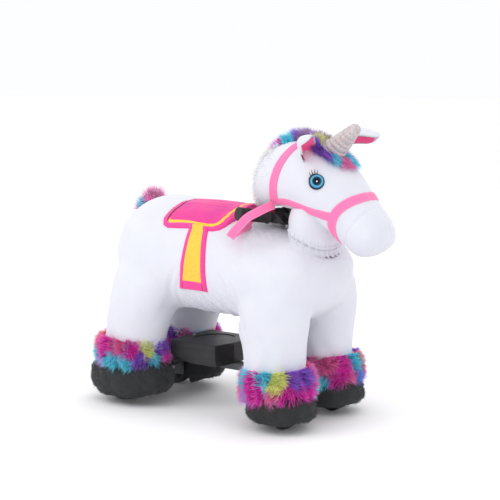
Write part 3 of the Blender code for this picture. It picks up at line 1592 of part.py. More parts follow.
# Motor lead, from the tray's rear wall to the motor's end cap
lead_start = Vector((box_rear_x - seat_gap, beam_half_width + lead_clear, part_z))
lead_end = motor_face + Y * (motor_length + seat_gap)
first_back, second_back, drop_back, low_back, turn_back = lead_backs
drop_sag, low_sag, turn_sag = lead_sags
lead_route = [
    lead_start,
    lead_start - X * first_back,
    lead_start - X * second_back,
    Vector((box_rear_x - drop_back, lead_start.y, beam_top_z - drop_sag)),
    Vector((box_rear_x - low_back, lead_start.y, beam_base_z - low_sag)),
    Vector((box_rear_x - turn_back, lead_end.y - lead_clear, beam_base_z - turn_sag)),
    lead_end + Vector((lead_end_back, lead_clear, lead_clear)),
    lead_end + Y * lead_end_out + X * first_back,
    lead_end + Y * lead_clear,
    lead_end,
]
lead_points = smooth_route(lead_route, route_steps)
finish("motor_lead", tube(lead_points, lead_radius, sides=lead_sides), BLACK_PLASTIC, 0.6)
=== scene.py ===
# %% [markdown]
# A plush ride-on unicorn, dressed over its frame.
# The real toy is a stuffed body pulled over a steel tube frame on four small wheels.
# The frame comes ready made and stays where it is. These cells sew the plush round it,
# comb its fur, lay the straps and give every surface a finish that is built from nodes.

# %% Load the frame
from math import acos, asin, cos, pi, radians, sin, tau

import bmesh
import bpy
import numpy as np
from mathutils import Matrix, Vector
from mathutils.bvhtree import BVHTree


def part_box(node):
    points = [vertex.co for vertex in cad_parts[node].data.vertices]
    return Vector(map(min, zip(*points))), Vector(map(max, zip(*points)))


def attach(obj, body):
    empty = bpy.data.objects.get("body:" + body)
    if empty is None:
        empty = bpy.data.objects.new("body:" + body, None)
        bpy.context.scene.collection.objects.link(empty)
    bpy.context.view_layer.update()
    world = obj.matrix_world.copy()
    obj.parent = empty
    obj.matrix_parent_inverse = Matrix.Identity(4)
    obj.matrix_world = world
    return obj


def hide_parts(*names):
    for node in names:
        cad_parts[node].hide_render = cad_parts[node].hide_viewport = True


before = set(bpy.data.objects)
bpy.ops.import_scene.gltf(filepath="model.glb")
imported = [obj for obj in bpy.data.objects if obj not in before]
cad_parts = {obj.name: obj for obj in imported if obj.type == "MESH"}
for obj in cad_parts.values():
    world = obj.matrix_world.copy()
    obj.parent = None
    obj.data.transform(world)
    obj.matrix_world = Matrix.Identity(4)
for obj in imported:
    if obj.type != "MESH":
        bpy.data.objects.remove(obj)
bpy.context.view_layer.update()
scene = bpy.context.scene
X, Y, Z = Vector((1, 0, 0)), Vector((0, 1, 0)), Vector((0, 0, 1))
print("frame pieces:", len(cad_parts))

# %% [markdown]
# The camera stands where the photographer stood: to the animal's right and a little in front,
# just above the saddle's height. A long lens keeps the legs from spreading.
# The light is soft and plain, so that the plush's own shading can be read.

# %% Camera and lights
view_azimuth = radians(36.30)
view_elevation = radians(7.47)
view_distance = 3.0
view_target = Vector((0.0093, 0.0, 0.3857))
lens_length, sensor_width = 90.8, 36.0
towards_camera = Vector((
    sin(view_azimuth) * cos(view_elevation), -cos(view_azimuth) * cos(view_elevation), sin(view_elevation),
))
camera = bpy.data.objects.new("camera", bpy.data.cameras.new("camera"))
camera.data.lens = lens_length
camera.data.sensor_width = sensor_width
camera.location = view_target + towards_camera * view_distance
camera.rotation_mode = "QUATERNION"
camera.rotation_quaternion = (-towards_camera).to_track_quat("-Z", "Y")
scene.collection.objects.link(camera)
scene.camera = camera
scene.view_settings.view_transform = "Standard"


def soft_light(name, spot, aim, size, power, colour):
    """A large square lamp, turned to the point that it lights."""
    lamp = bpy.data.lights.new(name, "AREA")
    lamp.size = size
    lamp.energy = power
    lamp.color = colour
    holder = bpy.data.objects.new(name, lamp)
    holder.location = spot
    holder.rotation_mode = "QUATERNION"
    holder.rotation_quaternion = (Vector(aim) - Vector(spot)).to_track_quat("-Z", "Y")
    scene.collection.objects.link(holder)


soft_light("key_light", (-1.6, -2.6, 2.6), (0, 0, 0.35), 2.4, 34, (1.0, 0.99, 0.98))
soft_light("fill_light", (2.6, -1.6, 1.5), (0, 0, 0.35), 2.2, 9, (0.96, 0.97, 1.0))
soft_light("back_light", (0.2, 2.6, 2.2), (0, 0, 0.45), 2.0, 14, (1.0, 1.0, 1.0))
sky = bpy.data.objects.new("sky_light", bpy.data.lights.new("sky_light", "SUN"))
sky.data.energy = 0.35
sky.data.angle = radians(60)
scene.collection.objects.link(sky)
world = bpy.data.worlds.new("studio")
scene.world = world
world.use_nodes = True
world.node_tree.nodes["Background"].inputs["Color"].default_value = (0.985, 0.988, 1.0, 1)
world.node_tree.nodes["Background"].inputs["Strength"].default_value = 1.0
print("camera at", [round(c, 3) for c in camera.location])

# %% [markdown]
# Every finish is built from the same few nodes, so a helper that adds a node and wires it
# keeps each recipe readable. An effect that several finishes share, such as pile or grain,
# becomes a node group with named sockets, like a stamp that is pressed with other colours.


# %% Node helpers
def node(tree, kind, wires=None, **settings):
    """Adds a shader node. Wires are other nodes' outputs or plain values."""
    made = tree.nodes.new(kind)
    for key, value in settings.items():
        setattr(made, key, value)
    for socket, source in (wires or {}).items():
        if isinstance(source, bpy.types.NodeSocket):
            tree.links.new(source, made.inputs[socket])
        else:
            made.inputs[socket].default_value = source
    return made


def maths(tree, operation, *values):
    """One Math node, clamped where its name ends in +."""
    made = node(tree, "ShaderNodeMath", dict(enumerate(values)), operation=operation.rstrip("+"))
    made.use_clamp = operation.endswith("+")
    return made.outputs[0]


def blend_colours(tree, share, first, second, mode="MIX"):
    """The Mix node for colours."""
    wires = {0: share, 6: first, 7: second}
    return node(tree, "ShaderNodeMix", wires, data_type="RGBA", blend_type=mode).outputs[2]


def layered(tree, colour, *layers):
    """Paints colours over one another: each layer is a (mask, colour) pair."""
    for mask, paint in layers:
        colour = blend_colours(tree, mask, colour, paint)
    return colour


def object_place(tree):
    return node(tree, "ShaderNodeTexCoord").outputs["Object"]


def spots(tree, scale, detail=3.0, roughness=0.55, stretch=None):
    """Noise over the object's own space, squeezed along an axis where stretch is given."""
    where = object_place(tree)
    if stretch:
        where = node(tree, "ShaderNodeMapping", {"Vector": where, "Scale": stretch}).outputs[0]
    wires = {"Vector": where, "Scale": scale, "Detail": detail, "Roughness": roughness}
    return node(tree, "ShaderNodeTexNoise", wires).outputs["Fac"]


def between_stops(tree, value, *stops):
    """A colour ramp from (value, colour) stops."""
    ramp = node(tree, "ShaderNodeValToRGB", {"Fac": value})
    steps = ramp.color_ramp.elements
    while len(steps) < len(stops):
        steps.new(1.0)
    for step, (position, colour) in zip(steps, stops):
        step.position = position
        step.color = (*colour, 1)
    return ramp.outputs["Color"]


def band(tree, value, low, high, soft):
    """A mask that is 1 where value lies between low and high."""
    rise = maths(tree, "DIVIDE+", maths(tree, "SUBTRACT", value, low), soft)
    fall = maths(tree, "DIVIDE+", maths(tree, "SUBTRACT", high, value), soft)
    return overlap(tree, rise, fall)


def overlap(tree, *masks):
    """A mask that is 1 only where all of the masks are."""
    shared = masks[0]
    for mask in masks[1:]:
        shared = maths(tree, "MULTIPLY", shared, mask)
    return shared


def attribute(tree, name, output="Fac"):
    return node(tree, "ShaderNodeAttribute", attribute_name=name).outputs[output]


def node_group(name, outputs, build, **inputs):
    """A node group, where build(tree, inputs) gives the sources of its outputs by name.

    An input is a colour where its first value is one, and an output where it is called Colour.
    """
    tree = bpy.data.node_groups.new(name, "ShaderNodeTree")
    kinds = {True: "NodeSocketColor", False: "NodeSocketFloat"}
    for label, default in inputs.items():
        kind = kinds[isinstance(default, tuple)]
        socket = tree.interface.new_socket(label.replace("_", " "), in_out="INPUT", socket_type=kind)
        socket.default_value = (*default, 1) if isinstance(default, tuple) else default
    for label in outputs.split():
        tree.interface.new_socket(label, in_out="OUTPUT", socket_type=kinds[label == "Colour"])
    enter = tree.nodes.new("NodeGroupInput")
    leave = tree.nodes.new("NodeGroupOutput")
    for label, source in build(tree, enter.outputs).items():
        tree.links.new(source, leave.inputs[label])
    return tree


def stamp(tree, group, **values):
    """Places a node group in a material with its own values, and gives its outputs."""
    wires = {}
    for label, value in values.items():
        wires[label.replace("_", " ")] = (*value, 1) if isinstance(value, tuple) else value
    return node(tree, "ShaderNodeGroup", wires, node_tree=group).outputs


def finish_of(name, **sockets):
    """A material with a Principled shader, whose plain values go on its own sockets."""
    material = bpy.data.materials.new(name)
    material.use_nodes = True
    tree = material.node_tree
    shader = tree.nodes["Principled BSDF"]
    for label, value in sockets.items():
        shader.inputs[label.replace("_", " ")].default_value = value
    return material, tree, shader


def wire_up(tree, shader, colour=None, roughness=None, height=None, bump=0.5, distance=0.001):
    """Joins a recipe's colour, roughness and height to the shader."""
    if colour is not None:
        tree.links.new(colour, shader.inputs["Base Color"])
    if roughness is not None:
        tree.links.new(roughness, shader.inputs["Roughness"])
    if height is not None:
        relief = node(tree, "ShaderNodeBump", {"Height": height, "Strength": bump, "Distance": distance})
        tree.links.new(relief.outputs[0], shader.inputs["Normal"])


print("node helpers ready")

# %% [markdown]
# Short plush is a field of fibres that lean different ways. Seen from arm's length that gives
# fine mottling, a velvet bloom at the edges, and broad patches where a hand has brushed it.
# Two scales of noise make the mottling, and the shader's sheen makes the bloom.


# %% Shared effects
def mixed(tree, first, first_weight, second, second_weight):
    """Two values added by weight and kept between 0 and 1."""
    return maths(tree, "MULTIPLY_ADD+", first, first_weight, maths(tree, "MULTIPLY", second, second_weight))


def build_pile(tree, given):
    tufts = spots(tree, given["Scale"], 4.0, 0.7)
    brushed = spots(tree, maths(tree, "MULTIPLY", given["Scale"], 0.045), 2.0, 0.5)
    shade = mixed(tree, tufts, given["Mottle"], brushed, 0.32)
    return {
        "Colour": blend_colours(tree, shade, given["Colour"], given["Shade"]),
        "Roughness": maths(tree, "MULTIPLY_ADD+", tufts, 0.2, 0.78),
        "Height": maths(tree, "MULTIPLY_ADD", brushed, 0.6, tufts),
    }


def build_grain(tree, given):
    wires = {"Vector": object_place(tree), "Scale": given["Scale"]}
    cells = node(tree, "ShaderNodeTexVoronoi", wires).outputs["Distance"]
    scuffs = spots(tree, maths(tree, "MULTIPLY", given["Scale"], 0.02), 5.0, 0.7)
    worn = maths(tree, "MULTIPLY+", maths(tree, "SUBTRACT", scuffs, 0.52), 5.0)
    worn = maths(tree, "MULTIPLY", worn, given["Wear"])
    return {
        "Colour": blend_colours(tree, worn, given["Colour"], given["Worn colour"]),
        "Roughness": maths(tree, "MULTIPLY_ADD+", worn, 0.3, given["Roughness"]),
        "Height": cells,
    }


def build_brushed(tree, given):
    streaks = spots(tree, given["Scale"], 3.0, 0.6, (1.0, 1.0, 0.06))
    shade = mixed(tree, streaks, 0.35, spots(tree, 18.0, 4.0, 0.6), 0.3)
    return {
        "Colour": blend_colours(tree, shade, given["Colour"], given["Shade"]),
        "Roughness": maths(tree, "MULTIPLY_ADD+", streaks, 0.22, given["Roughness"]),
        "Height": streaks,
    }


def build_weave(tree, given):
    ribs = maths(tree, "SINE", maths(tree, "MULTIPLY", given["Run"], given["Rib density"]))
    cords = maths(tree, "SINE", maths(tree, "MULTIPLY", given["Side"], given["Cord density"]))
    relief = maths(tree, "MULTIPLY_ADD", maths(tree, "MULTIPLY", ribs, cords), 0.5, 0.5)
    shade = mixed(tree, relief, 0.22, spots(tree, 30.0, 3.0, 0.6), 0.35)
    return {"Colour": blend_colours(tree, shade, given["Colour"], given["Shade"]), "Height": relief}


def build_stitches(tree, given):
    far_side = maths(tree, "ADD", given["Inset"], given["Width"])
    line = band(tree, given["Distance"], given["Inset"], far_side, 0.0003)
    beat = maths(tree, "FRACT", maths(tree, "DIVIDE", given["Run"], given["Length"]))
    return {"Mask": maths(tree, "MULTIPLY", line, maths(tree, "LESS_THAN", beat, 0.72))}


surface = "Colour Roughness Height"
pile_group = node_group(
    "pile", surface, build_pile, Colour=(1, 1, 1), Shade=(0.6, 0.6, 0.7), Scale=500.0, Mottle=0.3,
)
grain_group = node_group(
    "moulded grain", surface, build_grain,
    Colour=(0, 0, 0), Worn_colour=(0.2, 0.2, 0.2), Scale=900.0, Wear=0.3, Roughness=0.4,
)
brushed_group = node_group(
    "brushed metal", surface, build_brushed,
    Colour=(0.5, 0.5, 0.5), Shade=(0.3, 0.3, 0.3), Scale=600.0, Roughness=0.25,
)
weave_group = node_group(
    "webbing weave", "Colour Height", build_weave,
    Colour=(1, 0, 0), Shade=(0.5, 0, 0), Run=0.0, Side=0.0, Rib_density=3000.0, Cord_density=2600.0,
)
stitch_group = node_group(
    "stitches", "Mask", build_stitches, Distance=0.0, Run=0.0, Inset=0.002, Width=0.001, Length=0.004,
)
print("effects:", [group.name for group in bpy.data.node_groups])

# %% [markdown]
# The finishes. White plush carries a lavender shade in its folds, the hooves are the same pile
# in charcoal, and the long fur keeps the colour that each hair was dyed, with painted shade and
# highlight along it, which is stored on the hair itself. Webbing and saddle cloth read how far
# along and across they are from the cloth, so their weave and stitches follow every bend.


# %% Soft finishes
def stamped_finish(name, group, bump, distance, sockets, **values):
    """A finish whose colour, roughness and height all come from one shared effect."""
    material, tree, shader = finish_of(name, **sockets)
    made = stamp(tree, group, **values)
    wire_up(tree, shader, made["Colour"], made["Roughness"], made["Height"], bump, distance)
    return material


def plush(name, colour, shade, scale, mottle, sheen, tint=(1, 1, 1), bump=0.45):
    sockets = dict(Sheen_Weight=sheen, Sheen_Roughness=0.45, Sheen_Tint=(*tint, 1), Specular_IOR_Level=0.2)
    values = dict(Colour=colour, Shade=shade, Scale=scale, Mottle=mottle)
    return stamped_finish(name, pile_group, bump, 0.0012, sockets, **values)


white_plush = plush("white_plush", (0.745, 0.755, 0.805), (0.53, 0.54, 0.64), 420.0, 0.24, 0.30)
hoof_colours = (0.062, 0.064, 0.066), (0.018, 0.019, 0.021)
hoof_plush = plush("hoof_plush", *hoof_colours, 420.0, 0.9, 0.2, (0.5, 0.5, 0.52), 1.0)
ear_lining = plush("ear_lining", (1.0, 0.16, 0.38), (0.72, 0.05, 0.20), 520.0, 0.40, 0.4, (1, 0.6, 0.75))


def shaded_dyed_fur():
    material, tree, shader = finish_of(
        "shaded_dyed_fur", Sheen_Weight=0.06, Sheen_Roughness=0.4, Roughness=0.55, Specular_IOR_Level=0.2,
    )
    fleck = spots(tree, 260.0, 2.0, 0.6)
    fleck = between_stops(tree, fleck, (0.30, (0.88, 0.88, 0.90)), (0.70, (1.0, 1.0, 1.0)))
    # The stored colour is each hair's dye with its painted shade and painted highlight
    wire_up(tree, shader, blend_colours(tree, 1.0, attribute(tree, "shaded_dye", "Color"), fleck, "MULTIPLY"))
    return material


def webbing():
    material, tree, shader = finish_of("pink_webbing", Roughness=0.72, Sheen_Weight=0.2, Sheen_Roughness=0.5)
    run, side = attribute(tree, "run"), attribute(tree, "side")
    weave = stamp(tree, weave_group, Colour=(1.0, 0.215, 0.47), Shade=(0.86, 0.09, 0.30), Run=run, Side=side)
    rim = maths(tree, "SUBTRACT", attribute(tree, "half"), maths(tree, "ABSOLUTE", side))
    stitches = stamp(tree, stitch_group, Distance=rim, Run=run, Inset=0.0016, Width=0.0009, Length=0.0042)
    thread = stitches["Mask"]
    colour = layered(tree, weave["Colour"], (thread, (1.0, 0.42, 0.62, 1)))
    wire_up(tree, shader, colour, None, maths(tree, "ADD", weave["Height"], thread), 0.5, 0.0005)
    return material


fur = shaded_dyed_fur()
pink_webbing = webbing()
print("soft finishes ready")

# %% [markdown]
# The saddle is crushed velour: its nap catches the light in patches, so the magenta drifts
# between two pinks. A lighter border runs round it, a dark red line of painted shadow marks the
# seam where the border meets the seat at the back, and a yellow trim runs round the rest and
# down the stirrup flaps.
# Bands of the distance to the edge draw them, so they follow the cloth however it is draped.


# %% Saddle finishes
border_pink, thread_pink = (0.88, 0.055, 0.30, 1), (1.0, 0.30, 0.50, 1)
trim_yellow = (0.98, 0.56, 0.035, 1)
# Dark red of the seams; along the saddle's rear seam it is painted shadow in the seam's valley
seam_red = (0.16, 0.004, 0.035, 1)
outside = -0.01


def saddle_cloth():
    material, tree, shader = finish_of(
        "saddle_cloth", Sheen_Weight=0.5, Sheen_Roughness=0.35, Sheen_Tint=(1, 0.65, 0.8, 1), Roughness=0.8,
    )
    dark, light = (0.56, 0.02, 0.22), (0.80, 0.035, 0.29)
    nap = stamp(tree, pile_group, Colour=light, Shade=dark, Scale=300.0, Mottle=0.5)
    drift = spots(tree, 14.0, 3.0, 0.6)
    brushed = between_stops(tree, drift, (0.36, (0.86, 0.05, 0.26)), (0.66, (0.66, 0.035, 0.30)))
    seat = blend_colours(tree, 0.5, nap["Colour"], brushed)
    edge, rear, run = (attribute(tree, name) for name in ("edge", "rearward", "run"))
    elsewhere = maths(tree, "SUBTRACT", 1.0, rear)
    border = band(tree, edge, outside, 0.0125, 0.0006)
    trim_start = maths(tree, "MULTIPLY_ADD", rear, 0.0060, 0.0118)
    trim = band(tree, edge, trim_start, maths(tree, "ADD", trim_start, 0.0075), 0.0007)
    beside_flap = band(tree, maths(tree, "ABSOLUTE", attribute(tree, "flap gap")), outside, 0.0170, 0.0006)
    bridge = overlap(tree, beside_flap, band(tree, edge, outside, 0.0150, 0.0006), elsewhere)
    # Painted shadow: a dark red line in the valley of the rear seam, where the pad puffs up behind it
    rear_seam_shadow = overlap(tree, band(tree, edge, 0.0108, 0.0172, 0.0008), rear)
    stitches = stamp(tree, stitch_group, Distance=edge, Run=run, Inset=0.0100, Width=0.0010, Length=0.0045)
    colour = layered(
        tree, seat, (border, border_pink), (overlap(tree, trim, elsewhere), trim_yellow),
        (bridge, trim_yellow), (rear_seam_shadow, seam_red), (overlap(tree, stitches["Mask"], 0.5), thread_pink),
    )
    wire_up(tree, shader, colour, None, nap["Height"], 0.4, 0.001)
    return material


def flap_cloth():
    material, tree, shader = finish_of(
        "flap_cloth", Sheen_Weight=0.4, Sheen_Roughness=0.4, Sheen_Tint=(1, 0.8, 0.8, 1), Roughness=0.82,
    )
    edge, foot = attribute(tree, "edge"), attribute(tree, "foot")
    nap = spots(tree, 260.0, 3.0, 0.6)
    pink = between_stops(tree, nap, (0.3, (0.80, 0.035, 0.25)), (0.7, (0.92, 0.07, 0.34)))
    yellow = between_stops(tree, nap, (0.3, (0.85, 0.45, 0.04)), (0.7, (0.96, 0.60, 0.07)))
    centre = overlap(tree, band(tree, edge, 0.0112, 0.2, 0.0006), band(tree, foot, 0.0235, 0.5, 0.0008))
    seam = overlap(tree, band(tree, edge, 0.0100, 0.0114, 0.0005), band(tree, foot, 0.0, 0.5, 0.001), 0.55)
    tab = overlap(tree, band(tree, edge, 0.0096, 0.0118, 0.0004), band(tree, foot, 0.004, 0.020, 0.001))
    colour = layered(tree, pink, (centre, yellow), (seam, seam_red), (tab, seam_red))
    wire_up(tree, shader, colour, None, nap, 0.4, 0.0008)
    return material


saddle_velour, flap_velour = saddle_cloth(), flap_cloth()
print("saddle finishes ready")

# %% [markdown]
# The hard parts are plain: black plastic with a fine moulded grain, painted steel tube with
# scuffs, bare steel, nylon and birch plywood. Grain and wear come from the shared groups, so
# a finish is one line of values here.


# %% Hard finishes
def moulded(name, colour, worn, scale, wear, roughness, bump):
    values = dict(Colour=colour, Worn_colour=worn, Scale=scale, Wear=wear, Roughness=roughness)
    return stamped_finish(name, grain_group, bump, 0.0004, {}, **values)


def metal(name, colour, shade, scale, roughness, metallic):
    values = dict(Colour=colour, Shade=shade, Scale=scale, Roughness=roughness)
    return stamped_finish(name, brushed_group, 0.15, 0.0004, {"Metallic": metallic}, **values)


# Colour, worn colour, grain scale, wear, roughness and relief of each moulded material
moulded_rows = {
    "black_plastic": ((0.009, 0.009, 0.010), (0.035, 0.035, 0.038), 1400.0, 0.5, 0.42, 0.25),
    "tyre_plastic": ((0.012, 0.012, 0.013), (0.07, 0.068, 0.065), 900.0, 0.8, 0.55, 0.4),
    "grip_rubber": ((0.015, 0.016, 0.017), (0.05, 0.05, 0.05), 620.0, 0.6, 0.62, 1.0),
    "battery_case": ((0.09, 0.10, 0.12), (0.16, 0.17, 0.19), 1200.0, 0.3, 0.45, 0.25),
    "red_plastic": ((0.42, 0.015, 0.03), (0.55, 0.05, 0.06), 1500.0, 0.2, 0.32, 0.25),
    "nylon": ((0.80, 0.79, 0.72), (0.60, 0.57, 0.50), 800.0, 0.4, 0.42, 0.25),
    "cable_sheath": ((0.020, 0.020, 0.022), (0.06, 0.06, 0.06), 1500.0, 0.2, 0.5, 0.25),
}
# Colour, shade, streak scale, roughness and metallic share of each metal
metal_rows = {
    "painted_steel": ((0.085, 0.090, 0.098), (0.13, 0.135, 0.14), 500.0, 0.38, 0.35),
    "bare_steel": ((0.55, 0.56, 0.58), (0.34, 0.34, 0.36), 900.0, 0.22, 0.95),
    "zinc_steel": ((0.62, 0.60, 0.52), (0.42, 0.42, 0.40), 700.0, 0.30, 0.85),
}
hard_finishes = {name: moulded(name, *row) for name, row in moulded_rows.items()}
hard_finishes |= {name: metal(name, *row) for name, row in metal_rows.items()}


def plywood():
    material, tree, shader = finish_of("birch_plywood")
    wires = {"Vector": object_place(tree), "Scale": 26.0, "Distortion": 5.0, "Detail": 3.0}
    rings = node(tree, "ShaderNodeTexWave", wires, bands_direction="Y").outputs["Fac"]
    colour = between_stops(tree, rings, (0.0, (0.50, 0.35, 0.20)), (1.0, (0.70, 0.54, 0.35)))
    wire_up(tree, shader, colour, maths(tree, "MULTIPLY_ADD", rings, 0.15, 0.5), rings, 0.2, 0.0004)
    return material


hard_finishes["birch_plywood"] = plywood()
print("finishes:", len(bpy.data.materials))

# %% [markdown]
# A form is a stack of rings joined into a skin, like the cardboard ribs of a model boat.
# The rings come from the maker's own sections, so the plush follows its frame.
# A smooth curve through each line of ring points gives as many ribs as the form needs.


# %% Form helpers
def signed_power(value, power):
    return abs(value) ** power * (1 if value >= 0 else -1)


def rounded(centre, side, up, half_side, half_up, count, fullness=2.0):
    """A ring: fullness 2 is an ellipse, more is squarer."""
    power = 2 / fullness
    return [
        centre + side * half_side * signed_power(cos(tau * step / count), power)
        + up * half_up * signed_power(sin(tau * step / count), power)
        for step in range(count)
    ]


def spline(points, steps):
    """A smooth curve through points, or through rows of numbers."""
    ends = [points[0] * 2 - points[1], *points, points[-1] * 2 - points[-2]]
    route = []
    for a, b, c, d in zip(ends, ends[1:], ends[2:], ends[3:]):
        for step in range(steps):
            t = step / steps
            bend = a * 2 - b * 5 + c * 4 - d
            twist = b * 3 - a - c * 3 + d
            route.append((b * 2 + (c - a) * t + bend * t**2 + twist * t**3) / 2)
    return [*route, points[-1]]


def finer(rings, steps):
    """More rings between the given ones."""
    columns = [spline(list(column), steps) for column in zip(*rings)]
    return [list(row) for row in zip(*columns)]


def read_row(rows, share):
    """Reads a table of (share, values...) rows at a share."""
    shares = [row[0] for row in rows]
    return [float(np.interp(share, shares, [row[k] for row in rows])) for k in range(1, len(rows[0]))]


def lofted(rings, looped=False):
    """Vertices and faces of a skin over rings of equally many points."""
    count = len(rings[0])
    points = [tuple(point) for ring in rings for point in ring]
    faces = []
    for low in range(len(rings) if looped else len(rings) - 1):
        high = (low + 1) % len(rings)
        for here in range(count):
            after = (here + 1) % count
            faces.append((low * count + here, low * count + after, high * count + after, high * count + here))
    if not looped:
        faces.append(tuple(range(count))[::-1])
        faces.append(tuple(range(len(points) - count, len(points))))
    return points, faces


def mesh_of(name, *parts, values=None, colours=None, smooth=True):
    """A mesh from (points, faces) parts, with named values and colours on its points."""
    points, faces = [], []
    for part_points, part_faces in parts:
        start = len(points)
        points.extend(part_points)
        faces.extend(tuple(start + index for index in face) for face in part_faces)
    mesh = bpy.data.meshes.new(name)
    mesh.from_pydata(points, [], faces)
    for label, numbers in (values or {}).items():
        layer = mesh.attributes.new(label, "FLOAT", "POINT")
        layer.data.foreach_set("value", np.asarray(numbers, np.float32))
    if colours is not None:
        rgba = np.concatenate([np.asarray(colours, np.float32), np.ones((len(points), 1), np.float32)], 1)
        mesh.color_attributes.new("shaded_dye", "FLOAT_COLOR", "POINT").data.foreach_set("color", rgba.ravel())
    tidy = bmesh.new()
    tidy.from_mesh(mesh)
    bmesh.ops.recalc_face_normals(tidy, faces=tidy.faces)
    tidy.to_mesh(mesh)
    tidy.free()
    if smooth:
        mesh.shade_smooth()
    return mesh


def place(name, mesh, material, body="frame", stands_for=(), matrix=None, crease=None):
    """Puts a mesh into the scene as a piece that rides on a body."""
    piece = bpy.data.objects.new(name, mesh)
    if matrix is not None:
        piece.matrix_world = matrix
    scene.collection.objects.link(piece)
    mesh.materials.clear()
    mesh.materials.append(material)
    if crease is not None:
        mesh.set_sharp_from_angle(angle=radians(crease))
    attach(piece, body)
    if stands_for:
        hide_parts(*stands_for)
    print(name, len(mesh.polygons), "faces on", body)


def settled(piece_mesh, *modifiers):
    """The mesh after some modifiers, each a (kind, settings) pair."""
    holder = bpy.data.objects.new("settling", piece_mesh)
    scene.collection.objects.link(holder)
    for kind, settings in modifiers:
        modifier = holder.modifiers.new(kind.lower(), kind)
        for key, value in settings.items():
            setattr(modifier, key, value)
    graph = bpy.context.evaluated_depsgraph_get()
    made = bpy.data.meshes.new_from_object(holder.evaluated_get(graph))
    bpy.data.objects.remove(holder)
    return made


def points_of(mesh, kind="co"):
    """The points of a mesh as rows of numbers, or its normals."""
    numbers = np.zeros(len(mesh.vertices) * 3, np.float32)
    mesh.vertices.foreach_get(kind, numbers)
    return numbers.reshape(-1, 3).astype(float)


def points_and_normals(mesh):
    return points_of(mesh), points_of(mesh, "normal")


def move_points(mesh, numbers):
    mesh.vertices.foreach_set("co", np.asarray(numbers, np.float32).ravel())
    mesh.update()


def skin_tree(*meshes):
    """What straps and pads are laid on."""
    points, faces = [], []
    for mesh in meshes:
        start = len(points)
        points.extend(vertex.co.copy() for vertex in mesh.vertices)
        faces.extend([start + index for index in face.vertices] for face in mesh.polygons)
    return BVHTree.FromPolygons(points, faces)


def laid(tree, point, outward, reach=0.04):
    """Where a line from outside meets the skin nearest to a point."""
    hit, _, _, _ = tree.ray_cast(point + outward * reach, -outward, reach * 2)
    return hit if hit is not None else point


def hump(values, middle, width):
    """1 at the middle, and next to nothing two widths away."""
    return np.exp(-(((values - middle) / width) ** 2))


def fade(values, low, high):
    """0 before low, 1 after high, smooth between; low may be the larger."""
    share = np.clip((values - low) / (high - low), 0, 1)
    return share * share * (3 - 2 * share)


print("form helpers ready")

# %% [markdown]
# Stuffing pushes cloth out until its seams hold it. Blender's cloth does the same when it is
# blown up with a little pressure and no weight: flat places belly out and joins stay drawn in.
# The form starts slightly small, some points are pinned, and no point may travel far.

# %% Stuffing
stuffing_steps, stuffing_stiffness = 20, 18.0
body_pressure, body_travel = 4.0, 0.005
print("stuffing takes", stuffing_steps, "steps")


def stuffed(mesh, held, pressure=body_pressure, most=body_travel):
    """Blows a mesh up like stuffing. held gives each point's hold, from 0 to 1."""
    holder = bpy.data.objects.new("stuffing", mesh)
    scene.collection.objects.link(holder)
    before = points_of(mesh)
    hold = holder.vertex_groups.new(name="hold")
    for index, weight in enumerate(held(before)):
        if weight > 0.01:
            hold.add([index], float(weight), "REPLACE")
    cloth = holder.modifiers.new("stuffing", "CLOTH")
    settings = dict(
        quality=4, mass=0.25, tension_stiffness=stuffing_stiffness, compression_stiffness=stuffing_stiffness,
        shear_stiffness=stuffing_stiffness / 3, bending_stiffness=0.4, use_pressure=True,
        uniform_pressure_force=pressure, vertex_group_mass="hold",
    )
    for key, value in settings.items():
        setattr(cloth.settings, key, value)
    cloth.settings.effector_weights.gravity = 0
    cloth.point_cache.frame_start, cloth.point_cache.frame_end = 1, stuffing_steps
    for step in range(1, stuffing_steps + 1):
        scene.frame_set(step)
    graph = bpy.context.evaluated_depsgraph_get()
    blown = points_of(holder.evaluated_get(graph).to_mesh())
    scene.frame_set(1)
    bpy.data.objects.remove(holder)
    travel = blown - before
    far = np.linalg.norm(travel, axis=1, keepdims=True)
    travel *= np.minimum(1.0, most / np.maximum(far, 1e-9))
    move_points(mesh, before + np.nan_to_num(travel))
    print("stuffed", mesh.name, len(before), "points, most", round(float(far.max()) * 1000, 1), "mm")
    return mesh


def recast(mesh, voxel, relaxing):
    """Casts forms that run through one another as one skin, and softens its joins."""
    casting = "REMESH", {"mode": "VOXEL", "voxel_size": voxel}
    return settled(mesh, casting, ("SMOOTH", {"factor": 0.5, "iterations": relaxing}))


def sewn_bag(name, forms, voxel, relaxing, held):
    """Forms recast as one bag, stuffed, and made twice as fine."""
    bag = stuffed(recast(mesh_of(name, *forms), voxel, relaxing), held)
    return settled(bag, ("SUBSURF", {"levels": 1, "render_levels": 1}))


# %% [markdown]
# The body. Torso and legs are one bag of plush on the real toy, cut so that the legs flow
# out of the flanks. Their forms are pushed into one another, cast again as one skin, relaxed
# until the joins are soft, and then stuffed.

# %% Sections of the torso and the head
torso_rear_x, torso_length = -0.3465, 0.594
torso_base_z, torso_height, torso_half_width = 0.228, 0.275, 0.168
torso_fullness = 2.2
# Along, underside, back and half width of each section
torso_rows = (
    (0.000, 0.40, 0.57, 0.24), (0.018, 0.25, 0.74, 0.49), (0.058, 0.12, 0.87, 0.68),
    (0.125, 0.03, 0.96, 0.84), (0.215, 0.00, 1.00, 0.95), (0.331, 0.01, 0.958, 0.98),
    (0.460, 0.015, 0.942, 0.98), (0.560, 0.015, 0.925, 0.98), (0.650, 0.01, 0.88, 0.99),
    (0.725, 0.00, 0.81, 1.00), (0.795, 0.00, 0.765, 1.00), (0.860, 0.01, 0.735, 0.97),
    (0.917, 0.05, 0.68, 0.87), (0.969, 0.13, 0.60, 0.69), (0.992, 0.225, 0.515, 0.45),
    (1.000, 0.305, 0.435, 0.24),
)
head_rear_x, head_length = 0.0475, 0.346
head_base_z, head_height, head_half_width = 0.389, 0.263, 0.100
head_fullness = 2.1
